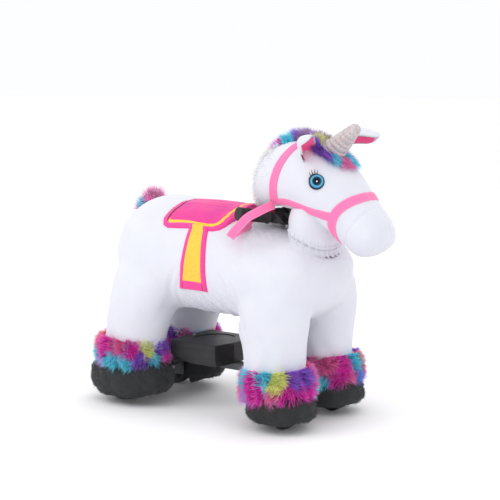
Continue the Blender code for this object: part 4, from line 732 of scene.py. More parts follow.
# Each section's upper edge point, its lower one, and its half width
head_rows = (
    ((0.040, 0.408), (0.190, 0.408), 0.44), ((0.006, 0.480), (0.250, 0.415), 0.68),
    ((0.009, 0.657), (0.318, 0.392), 0.88), ((0.062, 0.843), (0.412, 0.366), 0.98),
    ((0.185, 0.963), (0.497, 0.302), 1.00), ((0.355, 1.000), (0.577, 0.228), 0.99),
    ((0.511, 0.948), (0.634, 0.172), 0.95), ((0.648, 0.825), (0.676, 0.119), 0.87),
    ((0.761, 0.657), (0.710, 0.078), 0.77), ((0.852, 0.515), (0.739, 0.037), 0.69),
    ((0.926, 0.410), (0.776, 0.007), 0.65), ((0.983, 0.291), (0.827, 0.000), 0.59),
    ((1.000, 0.179), (0.886, 0.022), 0.42),
)


def torso_section(x):
    """Middle height, half height and half width of the torso at x."""
    low, high, wide = read_row(torso_rows, (x - torso_rear_x) / torso_length)
    middle, half_height = torso_base_z + torso_height * (low + high) / 2, torso_height * (high - low) / 2
    return middle, half_height, torso_half_width * wide


def torso_skin(x, turn, out=0.0):
    """A point on the torso, turned from the far side up over the back."""
    middle, half_height, half_width = torso_section(x)
    power = 2 / torso_fullness
    y = (half_width + out) * signed_power(cos(turn), power)
    return Vector((x, y, middle + (half_height + out) * signed_power(sin(turn), power)))


def torso_turn_at_width(x, width):
    return acos(min(width / torso_section(x)[2], 1) ** (torso_fullness / 2))


def torso_turn_at_height(x, z):
    middle, half_height, _ = torso_section(x)
    return asin(signed_power((z - middle) / half_height, torso_fullness / 2))


head_curve = spline([np.array((*upper, *lower, wide)) for upper, lower, wide in head_rows], 16)


def head_section(along):
    """Centre, half vector to the upper edge, and half width of the head at a share of its sections."""
    spot = min(max(along, 0), 1) * (len(head_curve) - 1)
    first = min(int(spot), len(head_curve) - 2)
    row = (head_curve[first] + (head_curve[first + 1] - head_curve[first]) * (spot - first)).tolist()
    top = Vector((head_rear_x + head_length * row[0], 0, head_base_z + head_height * row[1]))
    bottom = Vector((head_rear_x + head_length * row[2], 0, head_base_z + head_height * row[3]))
    return (top + bottom) / 2, (top - bottom) / 2, head_half_width * row[4]


def head_skin(along, turn, out=0.0):
    centre, half_up, half_width = head_section(along)
    power = 2 / head_fullness
    rise = half_up.normalized() * (half_up.length + out) * signed_power(sin(turn), power)
    return centre + Y * (half_width + out) * signed_power(cos(turn), power) + rise


def head_normal(along, turn):
    """Roughly outwards from the head's skin."""
    step = 0.04
    forward = head_skin(min(along + step, 1), turn) - head_skin(max(along - step, 0), turn)
    round_it = head_skin(along, turn + step) - head_skin(along, turn - step)
    normal = round_it.cross(forward).normalized()
    return normal if normal.dot(head_skin(along, turn) - head_section(along)[0]) > 0 else -normal


print("torso top at the saddle:", round(torso_skin(-0.1, pi / 2).z, 3))

# %% Body form
# Height up the leg, half length, half width, inward shift and lean of each section
leg_rows = (
    (0.00, 0.82, 0.89, 0.0, 0.0), (0.20, 0.86, 0.92, 0.0, 0.14), (0.38, 0.92, 0.96, 0.0, 0.42),
    (0.55, 1.00, 1.00, 0.0, 0.78), (0.74, 0.99, 0.97, 0.1, 1.0), (0.90, 0.82, 0.78, 0.6, 1.0),
    (1.00, 0.46, 0.42, 1.0, 1.0),
)
leg_y, leg_half_width, leg_inset = 0.100, 0.074, 0.024
# x, foot height, top height, half length and lean of the front and rear legs
leg_kinds = {"front": (0.1515, 0.086, 0.380, 0.087, 0.0), "rear": (-0.2735, 0.106, 0.392, 0.099, 0.052)}
sides = {"left": 1, "right": -1}
body_shrink = 0.002
body_voxel, head_voxel = 0.0075, 0.006


def leg_rings(kind, side):
    x, base_z, top_z, half_length, lean = leg_kinds[kind]
    rings = []
    for rise, long, wide, inset, forward in leg_rows:
        y, z = side * (leg_y - leg_inset * inset), base_z + (top_z - base_z) * rise
        centre = Vector((x + lean * forward, y, z))
        half_x, half_y = half_length * long - body_shrink, leg_half_width * wide - body_shrink
        rings.append(rounded(centre, X, Y, half_x, half_y, 32))
    return finer(rings, 3)


def torso_rings():
    rings = []
    for along, low, high, wide in torso_rows:
        x, z = torso_rear_x + torso_length * along, torso_base_z + torso_height * (low + high) / 2
        centre = Vector((x, 0, z))
        half_height = torso_height * (high - low) / 2 - body_shrink
        half_width = torso_half_width * wide - body_shrink
        rings.append(rounded(centre, Y, Z, half_width, half_height, 48, torso_fullness))
    return finer(rings, 2)


def body_hold(points):
    """Held at the ankles, and under the belly where the battery box hangs."""
    feet = np.clip((0.135 - points[:, 2]) / 0.02, 0, 1)
    belly = np.clip((0.245 - points[:, 2]) / 0.01, 0, 1) * (np.abs(points[:, 1]) < 0.06)
    return np.clip(feet + belly, 0, 1)


body_forms = [torso_rings()] + [leg_rings(kind, side) for kind in leg_kinds for side in sides.values()]
body_mesh = sewn_bag("body_plush", map(lofted, body_forms), body_voxel, 9, body_hold)
print("body bag:", len(body_mesh.polygons), "faces from", len(body_forms), "forms")

# %% [markdown]
# Gathers. Where the belly is drawn in round the battery box the plush bunches into short
# folds, and creases run up inside each leg. These are small moves of the skin along its
# normal: a wave across the fold, faded in and out along it.


# %% Body folds
def fold_body(mesh):
    """Presses the folds in, and fills the skin out where the stuffing is thick."""
    points, normals = points_and_normals(mesh)
    x, y, z = points.T
    width, up = np.abs(y), normals[:, 2]
    # Cloth bunched over the battery box
    drawn = x + 0.35 * (z - 0.26) + 0.006 * np.sin(z * 90)
    gather = np.sin(drawn * tau / 0.017) + 0.5 * np.sin(drawn * tau / 0.0105 + 1.7)
    belly = fade(z, 0.318, 0.262) * fade(z, 0.215, 0.240) * fade(x, -0.105, -0.075) * fade(x, 0.060, 0.020)
    out = 0.0038 * gather * belly * fade(width, 0.05, 0.09)
    # A crease up behind each foreleg and one before each hind leg
    for start_x, lean in ((-0.118, 0.55), (0.060, -0.35)):
        line = x - start_x - lean * (z - 0.30)
        crease = hump(line, 0, 0.010) + 0.6 * hump(line, 0.022, 0.007)
        out -= 0.0055 * crease * fade(z, 0.37, 0.31) * fade(z, 0.20, 0.24) * fade(width, 0.06, 0.10)
    # Ripples round the legs above the cuffs
    for foot_x, *_ in leg_kinds.values():
        angle = np.arctan2(width - leg_y, x - foot_x)
        out += 0.0012 * hump(x, foot_x, 0.11) * fade(z, 0.205, 0.150) * np.sin(angle * 9 + z * 40)
    # Uneven stuffing everywhere
    out += 0.0011 * (np.sin(x * 23 + 1.3) * np.sin(z * 31 + 0.4) + 0.5 * np.sin(x * 41 + z * 37))
    # Fuller places, and puckers on the withers
    rump = hump(x, -0.225, 0.060) * fade(width, 0.125, 0.050) * (up > 0)
    chest = hump(x, 0.195, 0.046) * fade(width, 0.160, 0.090) * fade(up, 0.0, 0.5)
    elbow = hump(x, 0.064, 0.030) * hump(z, 0.222, 0.028) * fade(width, 0.05, 0.08)
    withers = hump(x, 0.100, 0.050) * fade(width, 0.115, 0.060) * (up > 0)
    pucker = 0.0010 * np.sin(x * 260 + 4 * np.sin(y * 70)) * np.sin(y * 190 + 1)
    out += 0.006 * rump + 0.015 * chest + 0.009 * elbow + (0.0050 + pucker) * withers
    move_points(mesh, points + normals * out[:, None])


fold_body(body_mesh)
torso_nodes = ["torso_plush"] + [f"{kind}_{hand}_leg" for kind in leg_kinds for hand in sides]
place("body_plush", body_mesh, white_plush, stands_for=torso_nodes)

# %% [markdown]
# The head is a second bag with a square-ended muzzle. It gets the same treatment, with a
# seam round the muzzle and one along the chin pressed in afterwards. The neck is a short
# sleeve, and a tie draws its cloth into a pleated groove where it leaves the body.


# %% Head and neck
def head_rings():
    rings = []
    last = len(head_rows) - 1
    for spot in range(last + 1):
        centre, half_up, half_width = head_section(spot / last)
        half_rise, half_side = half_up.length - body_shrink, half_width - body_shrink
        rings.append(rounded(centre, Y, half_up.normalized(), half_side, half_rise, 40, head_fullness))
    return finer(rings, 3)


def head_hold(points):
    """Held at the back of the head, where it meets the neck."""
    return np.clip((0.50 - points[:, 2]) / 0.01, 0, 1) * (points[:, 0] < 0.2)


def press_head_seams(mesh):
    points, normals = points_and_normals(mesh)
    x, y, z = points.T
    from_muzzle_seam = x * 0.82 - (z - 0.45) * 0.57 - 0.262
    out = -0.0016 * hump(from_muzzle_seam, 0, 0.003) * fade(z, 0.53, 0.49)
    out -= 0.0012 * hump(y, 0, 0.003) * fade(x, 0.30, 0.34)
    out += 0.0008 * np.sin(x * 37 + 0.6) * np.sin(z * 43 + y * 20)
    move_points(mesh, points + normals * out[:, None])


head_mesh = sewn_bag("head_plush", [lofted(head_rings())], head_voxel, 6, head_hold)
press_head_seams(head_mesh)
place("head_plush_cover", head_mesh, white_plush, stands_for=["head_plush"])

neck_x, neck_half_length, neck_half_width, neck_top_z = 0.2065, 0.056, 0.086, 0.500
neck_foot_x, neck_foot_half, lowest_foot = 0.1925, 0.0445, 0.37
neck_tie_rise, neck_sink = 0.012, 0.006
body_skin = skin_tree(body_mesh)


def neck_profile(turn, rise, height):
    """How far the sleeve stands out at a height above its foot: skirt, tied groove, then full."""
    from_tie = rise - neck_sink - neck_tie_rise
    ridges = 0.0034 * hump(abs(from_tie), 0.0045, 0.0030)
    groove = 0.0030 * hump(from_tie, 0, 0.0022)
    waves = sin(turn * 25 + 1.5 * sin(turn * 3)) + 0.6 * sin(turn * 43 + 2 + rise * 90)
    pleat = 0.0030 * hump(from_tie, 0, 0.012) * waves
    full = 0.006 * sin(pi * min(max(from_tie / (height - neck_sink - neck_tie_rise), 0), 1))
    skirt = 0.010 * max(1 - rise / 0.012, 0) ** 2
    return float(ridges - groove + pleat + full + skirt - 0.004)


def neck_rings(count=180, steps=44):
    """From the body's skin up into the head."""
    turns = [tau * k / count for k in range(count)]
    feet = []
    for turn in turns:
        over = Vector((neck_foot_x + neck_foot_half * cos(turn), neck_half_width * sin(turn), neck_top_z))
        hit, _, _, _ = body_skin.ray_cast(over, -Z, 0.13)
        feet.append(max(hit.z if hit else lowest_foot, lowest_foot) - neck_sink)
    rings = []
    for step in range(steps + 1):
        ring = []
        for turn, foot in zip(turns, feet):
            height = neck_top_z - foot
            rise = height * (step / steps) ** 1.4
            up, grow = rise / height, neck_profile(turn, rise, height)
            lift = 0.0022 * sin(turn * 3 + 0.5) * min(rise / 0.02, 1)
            x = neck_foot_x + (neck_x - neck_foot_x) * up
            x += (neck_foot_half + (neck_half_length - neck_foot_half) * up + grow) * cos(turn)
            ring.append(Vector((x, (neck_half_width + grow) * sin(turn), foot + rise + lift)))
        rings.append(ring)
    return rings


neck_mesh = mesh_of("neck_gather", lofted(neck_rings()))
place("neck_gather", neck_mesh, white_plush, stands_for=["neck_plush"])
head_tree = skin_tree(head_mesh)

# %% [markdown]
# Long fur. Each hair is a thin three-sided spike that leaves the cloth, bends, and ends in a
# point. Hairs next to each other lean together into locks. The cloth was dyed in patches
# before it was cut, so each hair takes the colour of the nearest patch. Along each hair the
# colour is painted darker at the root as shade deep in the fur, and lighter towards the tip
# as painted light, with a painted highlight whitening the tip.

# %% Hair helpers
dyes = {
    "turquoise": (0.10, 0.68, 0.92), "blue": (0.10, 0.30, 0.88), "purple": (0.32, 0.11, 0.70),
    "lavender": (0.58, 0.38, 0.88), "magenta": (0.88, 0.018, 0.50), "pink": (1.0, 0.16, 0.46),
    "coral": (1.0, 0.25, 0.24), "lime": (0.86, 0.92, 0.26), "peach": (0.92, 0.68, 0.56),
    "mauve": (0.33, 0.18, 0.42), "ash": (0.86, 0.86, 0.90), "rose": (0.95, 0.36, 0.60),
}
random = np.random.default_rng(7)
points_per_hair = 10
hair_steps = np.array((0.0, 0.38, 0.74, 1.0))
hair_taper = np.array((1.0, 0.86, 0.52))
# Painted shading along a hair, from root to tip: darker at the root as shade deep in the fur, lighter towards
# the tip as painted light
hair_painted_shading = np.array((0.72, 1.0, 1.18, 1.24))
# Painted highlight: the share of white mixed into a hair along its length, most at the tip
hair_painted_highlight = np.array((0.0, 0.0, 0.06, 0.22))


def unit(vectors):
    return vectors / np.maximum(np.linalg.norm(vectors, axis=-1, keepdims=True), 1e-9)


def hairs(roots, headings, bends, lengths, width, colours):
    """Points, faces and point colours of tapered three-sided hairs, with painted shade at the root and
    painted light and highlight towards the tip.
    """
    count = len(roots)
    headings = unit(headings)
    side = unit(np.cross(headings, random.normal(size=(count, 3))))
    up = np.cross(headings, side)
    points = np.zeros((count, points_per_hair, 3))
    for step, t in enumerate(hair_steps):
        centre = roots + lengths[:, None] * (headings * t + bends * t**2)
        if step == 3:
            points[:, 9] = centre
            continue
        for corner in range(3):
            turn = tau * corner / 3
            reach = width * hair_taper[step] / 2
            points[:, step * 3 + corner] = centre + (side * cos(turn) + up * sin(turn)) * reach
    pattern = [(0, 2, 1)]
    for low in (0, 3):
        pattern += [(low + a, low + b, low + 3 + b, low + 3 + a) for a, b in ((0, 1), (1, 2), (2, 0))]
    pattern += [(6 + a, 6 + b, 9) for a, b in ((0, 1), (1, 2), (2, 0))]
    starts = range(0, points_per_hair * count, points_per_hair)
    faces = [tuple(start + index for index in face) for start in starts for face in pattern]
    # Each hair's colour is painted darker at the root and lighter at the tip, and mixed towards white at the
    # tip as a painted highlight
    shade, tip_highlight = (np.repeat(row, (3, 3, 3, 1))[None, :, None] for row in (hair_painted_shading, hair_painted_highlight))
    tint = np.clip(colours[:, None, :] * shade * (1 - tip_highlight) + tip_highlight * colours.max(1)[:, None, None], 0, 1)
    return (points.reshape(-1, 3).tolist(), faces), tint.reshape(-1, 3)


def patch_colours(places, seeds, seed_colours, spread=0.06):
    """Each place takes the colour of its nearest dyed patch, with a little variation."""
    gaps = ((places[:, None, :] - seeds[None, :, :]) ** 2).sum(2)
    gaps *= 1 + random.random(gaps.shape)
    picked = seed_colours[gaps.argmin(1)]
    return np.clip(picked * (1 + spread * random.normal(size=(len(places), 1))), 0.002, 1)


def locks(places, size):
    """A gentle lean that neighbouring hairs share."""
    a, b, c = (places / size).T
    phases = a * 2.1 + b * 1.3, b * 2.4 + c * 1.7 + 1, c * 2.0 + a * 1.9 + 2
    return np.stack([np.sin(phase) for phase in phases], 1)


print("dyes:", ", ".join(dyes))

# %% [markdown]
# The cuffs. A band of fur is sewn round each ankle and hides the seam between leg and hoof.
# Its hair lies outwards and down over the hoof. Two rows of dyed patches run round it.

# %% Fur cuffs
# x, y, hoof top, height, half length, half width, lift and slope of the front and rear cuffs
cuff_kinds = {
    "front": (0.1625, 0.102, 0.086, 0.066, 0.097, 0.092, 0.000, 0.080),
    "rear": (-0.2745, 0.104, 0.106, 0.062, 0.103, 0.090, 0.008, -0.030),
}
cuff_overlap, fur_depth = 0.014, 0.018
cuff_hairs, cuff_hair_length, cuff_hair_width = 6600, 0.0212, 0.0012
first_patch_turn = radians(216)
cuff_sides = 72
# Height up the cuff and depth under the fur's tips of the rings of the band that the hair grows from
cuff_band = ((0.0, 0.026), (0.0, fur_depth - 0.002), (0.5, fur_depth - 0.003), (1.0, fur_depth), (1.0, 0.028))
# The dyes of the lower and the upper row of patches
cuff_dyes = {
    "rear": (
        "turquoise lavender turquoise turquoise purple turquoise magenta "
        "pink turquoise purple magenta turquoise magenta pink",
        "pink magenta pink magenta lime purple purple magenta turquoise pink magenta purple magenta coral",
    ),
    "front": (
        "pink lavender magenta pink magenta magenta magenta "
        "turquoise magenta pink blue magenta turquoise magenta",
        "turquoise magenta turquoise lime purple purple pink "
        "pink magenta turquoise coral purple magenta pink",
    ),
}


def cuff_surface(kind, side, turn, rise, inset):
    """Points and outward directions on a cuff, at turns round it and rises up it."""
    x, y, hoof_top, height, half_length, half_width, lift, slope = cuff_kinds[kind]
    swell = np.interp(rise, (0.0, 0.30, 0.78, 1.0), (0.93, 1.0, 0.97, 0.88))
    a, b = half_length * swell - inset, half_width * swell - inset
    z = hoof_top - cuff_overlap + height * rise + lift + slope * a * np.cos(turn)
    points = np.stack([x + a * np.cos(turn), side * y + b * np.sin(turn), z], 1)
    outward = unit(np.stack([np.cos(turn) / a, np.sin(turn) / b, 0 * turn], 1))
    return points, outward


def dyed_patches(kind, offset):
    """Places and colours of two rows of patches round a cuff, as (distance round, height)."""
    around = cuff_kinds[kind][4]
    places, colours = [], []
    for row, names in enumerate(cuff_dyes[kind]):
        names = names.split()
        for step in range(-1, len(names) + 1):
            turn = first_patch_turn + (step + 0.5 * row) * tau / len(names)
            wobble = np.array((sin(step * 5.1 + row * 2) * 0.006, sin(step * 3.7 + row) * 0.006))
            for lap in (-tau, 0.0):
                places.append(np.array(((turn + lap) * around, 0.014 + 0.033 * row)) + wobble)
                colours.append(dyes[names[(step + offset) % len(names)]])
    return np.array(places), np.array(colours)


def fur_cuff(kind, hand, offset):
    side = sides[hand]
    around, height = cuff_kinds[kind][4], cuff_kinds[kind][3]
    seeds, seed_colours = dyed_patches(kind, offset)
    turn = random.random(cuff_hairs) * tau
    rise = random.random(cuff_hairs)
    roots, outward = cuff_surface(kind, side, turn, rise, fur_depth)
    colours = patch_colours(np.stack([turn * around, rise * height], 1), seeds, seed_colours, 0.10)
    tangent = np.stack([-outward[:, 1], outward[:, 0], 0 * turn], 1)
    swirl = np.sin(turn * 11 + 3.0 * np.sin(turn * 4) + rise * 5)[:, None]
    stand = (1.15 * (rise - 0.42))[:, None] * np.array((0, 0, 1.0))
    headings = outward + 0.45 * swirl * tangent + stand + 0.22 * locks(roots, 0.011)
    headings += 0.20 * random.normal(size=(cuff_hairs, 3))
    bends = np.array((0, 0, -0.22)) + 0.18 * swirl * tangent + 0.10 * random.normal(size=(cuff_hairs, 3))
    lengths = cuff_hair_length * (0.72 + 0.42 * random.random(cuff_hairs))
    strands, tint = hairs(roots, headings, bends, lengths, cuff_hair_width, colours)
    rings, shaded_base_tint = [], []
    steps = np.arange(cuff_sides) * tau / cuff_sides
    for up, inset in cuff_band:
        points, _ = cuff_surface(kind, side, steps, np.full(cuff_sides, up), inset)
        rings.append([Vector(point) for point in points])
        flat = np.stack([steps * around, np.full(cuff_sides, up * height)], 1)
        # The band under the hairs takes its patch colours at 0.8, as painted shade beneath the fur
        shaded_base_tint.append(patch_colours(flat, seeds, seed_colours, 0.0) * 0.8)
    tints = np.concatenate([*shaded_base_tint, tint])
    mesh = mesh_of(f"fur_cuff_{kind}_{hand}", lofted(rings, looped=True), strands, colours=tints)
    place(mesh.name, mesh, fur, stands_for=[f"{kind}_{hand}_cuff"])


for kind in cuff_kinds:
    for hand in sides:
        fur_cuff(kind, hand, 0 if hand == "right" else 4)

# %% [markdown]
# The hooves are hollow plush boots in charcoal. The frame's own boot is cast again as a
# smooth skin, roughened by the pile, and covered with a short fuzz that breaks its outline.
# The tie bar of the steering swings through two of them, so cloth and fuzz keep clear of it.


# %% Hooves
tie_low, tie_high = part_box("tie_bar")
tie_swing, hem_gap = 0.0124, 0.0045
hoof_base_z, hoof_voxel = 0.021, 0.0036
fuzz_hairs, fuzz_length, fuzz_width = 5200, 0.0050, 0.0009
fuzz_grey, boot_grey = (0.085, 0.087, 0.088), (0.05, 0.05, 0.05)
# x, half length, top height, and how far the ends curl up
hoof_kinds = {"front": (0.1735, 0.083, 0.086, 0.006), "rear": (-0.2755, 0.118, 0.106, 0.017)}


def by_tie_bar(points, slack):
    """Which points are within slack of the space that the tie bar swings through."""
    x, y, z = points.T
    beside = (x > tie_low.x - slack) & (x < tie_high.x + slack) & (np.abs(y) < tie_high.y + tie_swing + slack)
    return beside & (z > tie_low.z - slack) & (z < tie_high.z + slack)


def fuzz(mesh, count, length, width, colour, low_z, spread=0.8):
    """Short hairs from random places on a mesh."""
    areas = np.zeros(len(mesh.polygons))
    mesh.polygons.foreach_get("area", areas)
    picked = random.choice(len(areas), count, p=areas / areas.sum())
    centres = np.array([mesh.polygons[int(i)].center for i in picked])
    outward = np.array([mesh.polygons[int(i)].normal for i in picked])
    shown = (centres[:, 2] > low_z) & ~by_tie_bar(centres, length * 2)
    centres, outward = centres[shown], outward[shown]
    jitter = random.normal(size=(len(centres), 3))
    roots = centres + np.cross(outward, jitter) * 0.0015 - outward * 0.0004
    headings = outward + spread * jitter + np.array((0, 0, -0.3))
    tints = np.array(colour) * (0.7 + 0.7 * random.random((len(centres), 1)))
    lengths = length * (0.6 + 0.7 * random.random(len(centres)))
    return hairs(roots, headings, 0.15 * jitter, lengths, width, tints)


def plush_hoof(kind, hand):
    node_name = f"{kind}_{hand}_hoof"
    shell = recast(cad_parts[node_name].data.copy(), hoof_voxel, 5)
    points, normals = points_and_normals(shell)
    x, y, z = points.T
    ruffle = 0.0008 * np.sin(x * 160 + y * 90) * np.sin(z * 150 + x * 60)
    ruffle += 0.0010 * np.sin(x * 70 + y * 55 + z * 60)
    points += normals * (0.0004 + ruffle)[:, None]
    hoof_x, half_length, top_z, rocker = hoof_kinds[kind]
    ends = np.clip((np.abs(points[:, 0] - hoof_x) / half_length - 0.35) / 0.65, 0, 1.1)
    low = np.clip((top_z - points[:, 2]) / (top_z - hoof_base_z), 0, 1)
    points[:, 2] = np.maximum(points[:, 2], hoof_base_z - 0.002) + rocker * ends**1.4 * low**1.5
    hem = by_tie_bar(points, hem_gap)
    above = points[:, 2] > (tie_low.z + tie_high.z) / 2
    points[hem & above, 2] = tie_high.z + hem_gap
    points[hem & ~above, 2] = tie_low.z - hem_gap
    move_points(shell, points)
    soft, tint = fuzz(shell, fuzz_hairs, fuzz_length, fuzz_width, fuzz_grey, hoof_base_z)
    base = ([tuple(p) for p in points], [tuple(face.vertices) for face in shell.polygons])
    tints = np.concatenate([np.tile(boot_grey, (len(points), 1)), tint])
    mesh = mesh_of(node_name, base, soft, colours=tints)
    place(f"boot_{kind}_{hand}", mesh, hoof_plush, stands_for=[node_name])


for kind in hoof_kinds:
    for hand in sides:
        plush_hoof(kind, hand)

# %% [markdown]
# Mane, forelock and tail use the same hairs. The mane rises from a seam along the neck and
# poll: pale and short at the nape, then longer in bands of colour, with a white fuzz round
# it. The forelock fans out round the horn's foot, and the tail is a round tuft.


# %% Mane
def brush(name, roots, headings, bends, lengths, width, colours, node_name, base=None, base_colour=None):
    """One piece of long fur, over a base form where one is given."""
    strands, tint = hairs(roots, headings, bends, lengths, width, colours)
    parts, tints = [strands], [tint]
    if base is not None:
        parts.insert(0, base)
        tints.insert(0, np.tile(base_colour, (len(base[0]), 1)))
    mesh = mesh_of(name, *parts, colours=np.concatenate(tints))
    place(name, mesh, fur, stands_for=[node_name])


def tousled(count, roots, lock_size, lean, stray):
    """What the locks and chance add to the way that hairs point."""
    return lean * locks(roots, lock_size) + stray * random.normal(size=(count, 3))


def head_roots(places):
    """Skin points, outward and forward directions at (share along, turn) places on the head."""
    rows = []
    for share, turn in places:
        up = head_normal(share, turn)
        ahead = (head_skin(min(share + 0.03, 1), turn) - head_skin(share, turn)).normalized()
        rows.append((*laid(head_tree, head_skin(share, turn), up), *up, *ahead))
    table = np.array(rows)
    return table[:, :3], table[:, 3:6], table[:, 6:]


# Share along the head, and dye, of each band of the mane
mane_bands = (
    (0.02, "ash"), (0.07, "ash"), (0.12, "ash"), (0.17, "ash"), (0.22, "ash"), (0.262, "peach"),
    (0.292, "rose"), (0.310, "lavender"), (0.332, "magenta"), (0.352, "turquoise"),
    (0.376, "turquoise"), (0.396, "purple"), (0.415, "mauve"), (0.440, "mauve"),
    (0.462, "lavender"), (0.486, "lime"), (0.515, "mauve"),
)
fur_width, nape_width = 0.0013, 0.0010
mane_count, mane_start, mane_reach = 5200, 0.015, 0.490
along = mane_start + mane_reach * np.sort(random.random(mane_count)) ** 0.88
across = random.normal(size=mane_count) * 0.40
roots, ups, forwards = head_roots(zip(along, pi / 2 + across * 0.27))
band_places = np.array([[place_along * 0.6, 0] for place_along, _ in mane_bands])
band_colours = np.array([dyes[name] for _, name in mane_bands])
colours = patch_colours(np.stack([along * 0.6, across * 0.006], 1), band_places, band_colours, 0.12)
growth = np.interp(along, (0.0, 0.20, 0.27, 0.34, 0.40, 0.50), (0.012, 0.013, 0.020, 0.026, 0.033, 0.026))
lengths = growth * (0.72 + 0.5 * random.random(mane_count))
headings = ups - 0.45 * forwards + tousled(mane_count, roots, 0.011, 0.34, 0.24)
headings[:, 1] += across * 0.5
bends = -0.22 * forwards + np.stack([0 * across, across * 0.30, -0.08 + 0 * across], 1)
brush("fur_mane", roots - ups * 0.002, headings, bends, lengths, fur_width, colours, "mane")

nape_count, nape_length, nape_start, nape_reach = 3200, 0.0150, 0.03, 0.30
along = nape_start + nape_reach * random.random(nape_count)
spread = random.normal(size=nape_count)
roots, ups, forwards = head_roots(zip(along, pi / 2 + np.clip(spread * 0.5, -1.25, 1.25)))
headings = ups - 0.25 * forwards + tousled(nape_count, roots, 0.009, 0.30, 0.40)
bends = -0.15 * forwards + np.array((0, 0, -0.12))
lengths = nape_length * (0.40 + 0.80 * random.random(nape_count))
lengths *= np.clip(1.25 - 0.28 * np.abs(spread), 0.5, 1)
whites = np.array((1.22, 1.21, 1.24)) * (0.9 + 0.2 * random.random((nape_count, 1)))
brush("nape_fuzz", roots - ups * 0.0006, headings, bends, lengths, nape_width, whites, "mane")

# %% Forelock
forelock_count, forelock_x, above_head_z = 4200, 0.2310, 0.66
forelock_inner, forelock_spread = 0.025, 0.019
skin_up, downhill = np.array((0.45, 0, 0.9)), np.array((0.80, 0, -0.62))
forelock_dyes = (
    "pink turquoise turquoise lavender purple mauve lime mauve "
    "mauve lime purple purple purple purple turquoise pink"
).split()
turn = random.random(forelock_count) * tau
reach = forelock_inner + forelock_spread * random.random(forelock_count)
over_x, over_y = forelock_x + reach * np.cos(turn), reach * 1.10 * np.sin(turn)
root_list = []
for over in zip(over_x, over_y, np.full(forelock_count, above_head_z)):
    hit, _, _, _ = head_tree.ray_cast(Vector(over), -Z, 0.2)
    root_list.append(hit if hit is not None else Vector(over) - Z * 0.05)
roots = np.array([tuple(root) for root in root_list])
away = unit(np.stack([np.cos(turn), np.sin(turn), 0 * turn], 1))
patch_turns = np.arange(len(forelock_dyes)) * tau / len(forelock_dyes)
forelock_seeds = np.stack([forelock_x + 0.036 * np.cos(patch_turns), 0.038 * np.sin(patch_turns)], 1)
patch_dyes = np.array([dyes[name] for name in forelock_dyes])
colours = patch_colours(roots[:, :2], forelock_seeds, patch_dyes, 0.12)
front, rear = np.clip(np.cos(turn), 0, 1)[:, None], np.clip(-np.cos(turn), 0, 1)[:, None]
headings = skin_up * (0.60 + 0.55 * rear) + away * (0.75 - 0.35 * rear) + downhill * (0.20 + 0.25 * front)
headings += tousled(forelock_count, roots, 0.010, 0.30, 0.20)
bends = downhill * 0.15 + away * 0.08 - np.array((0, 0, 0.40)) * (1 - rear)
growth = 0.0215 + 0.004 * front[:, 0] + 0.008 * rear[:, 0]
lengths = growth * (0.72 + 0.5 * random.random(forelock_count))
brush("fur_forelock", roots - skin_up * 0.002, headings, bends, lengths, fur_width, colours, "forelock")

# %% Tail
tail_root, tail_reach = Vector((-0.3060, 0.0, 0.452)), Vector((0.026, 0.0, 0.062))
tail_axis = tail_reach.normalized()
tail_front = Y.cross(tail_axis)
tail_radius, tail_root_radius, tail_count = 0.020, 0.019, 3000
tail_hair_length, tail_hair_width = 0.0235, 0.0014
tail_core = [
    rounded(tail_root + tail_reach * rise, Y, tail_front, tail_radius * wide, tail_radius * wide, 24)
    for rise, wide in ((0.0, 0.5), (0.2, 0.9), (0.45, 1.1), (0.7, 0.95), (0.85, 0.5))
]
# Height and side of each dyed patch, as shares of the tail, and its dye
tail_patches = (
    (0.95, 0.0, "rose"), (0.70, 0.0, "rose"), (0.45, 0.0, "turquoise"), (0.22, 0.4, "lavender"),
    (0.10, 0.0, "magenta"), (0.0, 0.3, "purple"),
)
turn = random.random(tail_count) * tau
rise = random.random(tail_count)
ring = tail_root_radius * np.interp(rise, (0.0, 0.4, 1.0), (0.7, 1.0, 0.35))
round_it = np.outer(np.cos(turn), np.array(Y)) + np.outer(np.sin(turn), np.array(tail_front))
roots = np.array(tail_root) + np.outer(rise * 0.85, np.array(tail_reach)) + round_it * ring[:, None]
tail_seeds = np.array([patch[:2] for patch in tail_patches])
tail_dyes = np.array([dyes[patch[2]] for patch in tail_patches])
colours = patch_colours(np.stack([rise, 0.3 * np.sin(turn)], 1), tail_seeds, tail_dyes, 0.14)
headings = round_it * (1.0 - 0.45 * rise[:, None]) + np.array(tail_axis) * (0.15 + 0.95 * rise[:, None] ** 2)
headings += tousled(tail_count, roots, 0.010, 0.30, 0.30)
bends = 0.15 * random.normal(size=(tail_count, 3)) - np.array((0.05, 0, 0.12))
lengths = tail_hair_length * (0.55 + 0.75 * random.random(tail_count))
tail_base = lofted(tail_core), dyes["magenta"]
brush("fur_tail", roots, headings, bends, lengths, tail_hair_width, colours, "tail", *tail_base)

# %% [markdown]
# The horn is a stuffed cone of iridescent lame with a seam spiralling up it. Its glitter is a
# field of tiny facets, each turned its own way, so the colour and gloss jump from cell to cell.


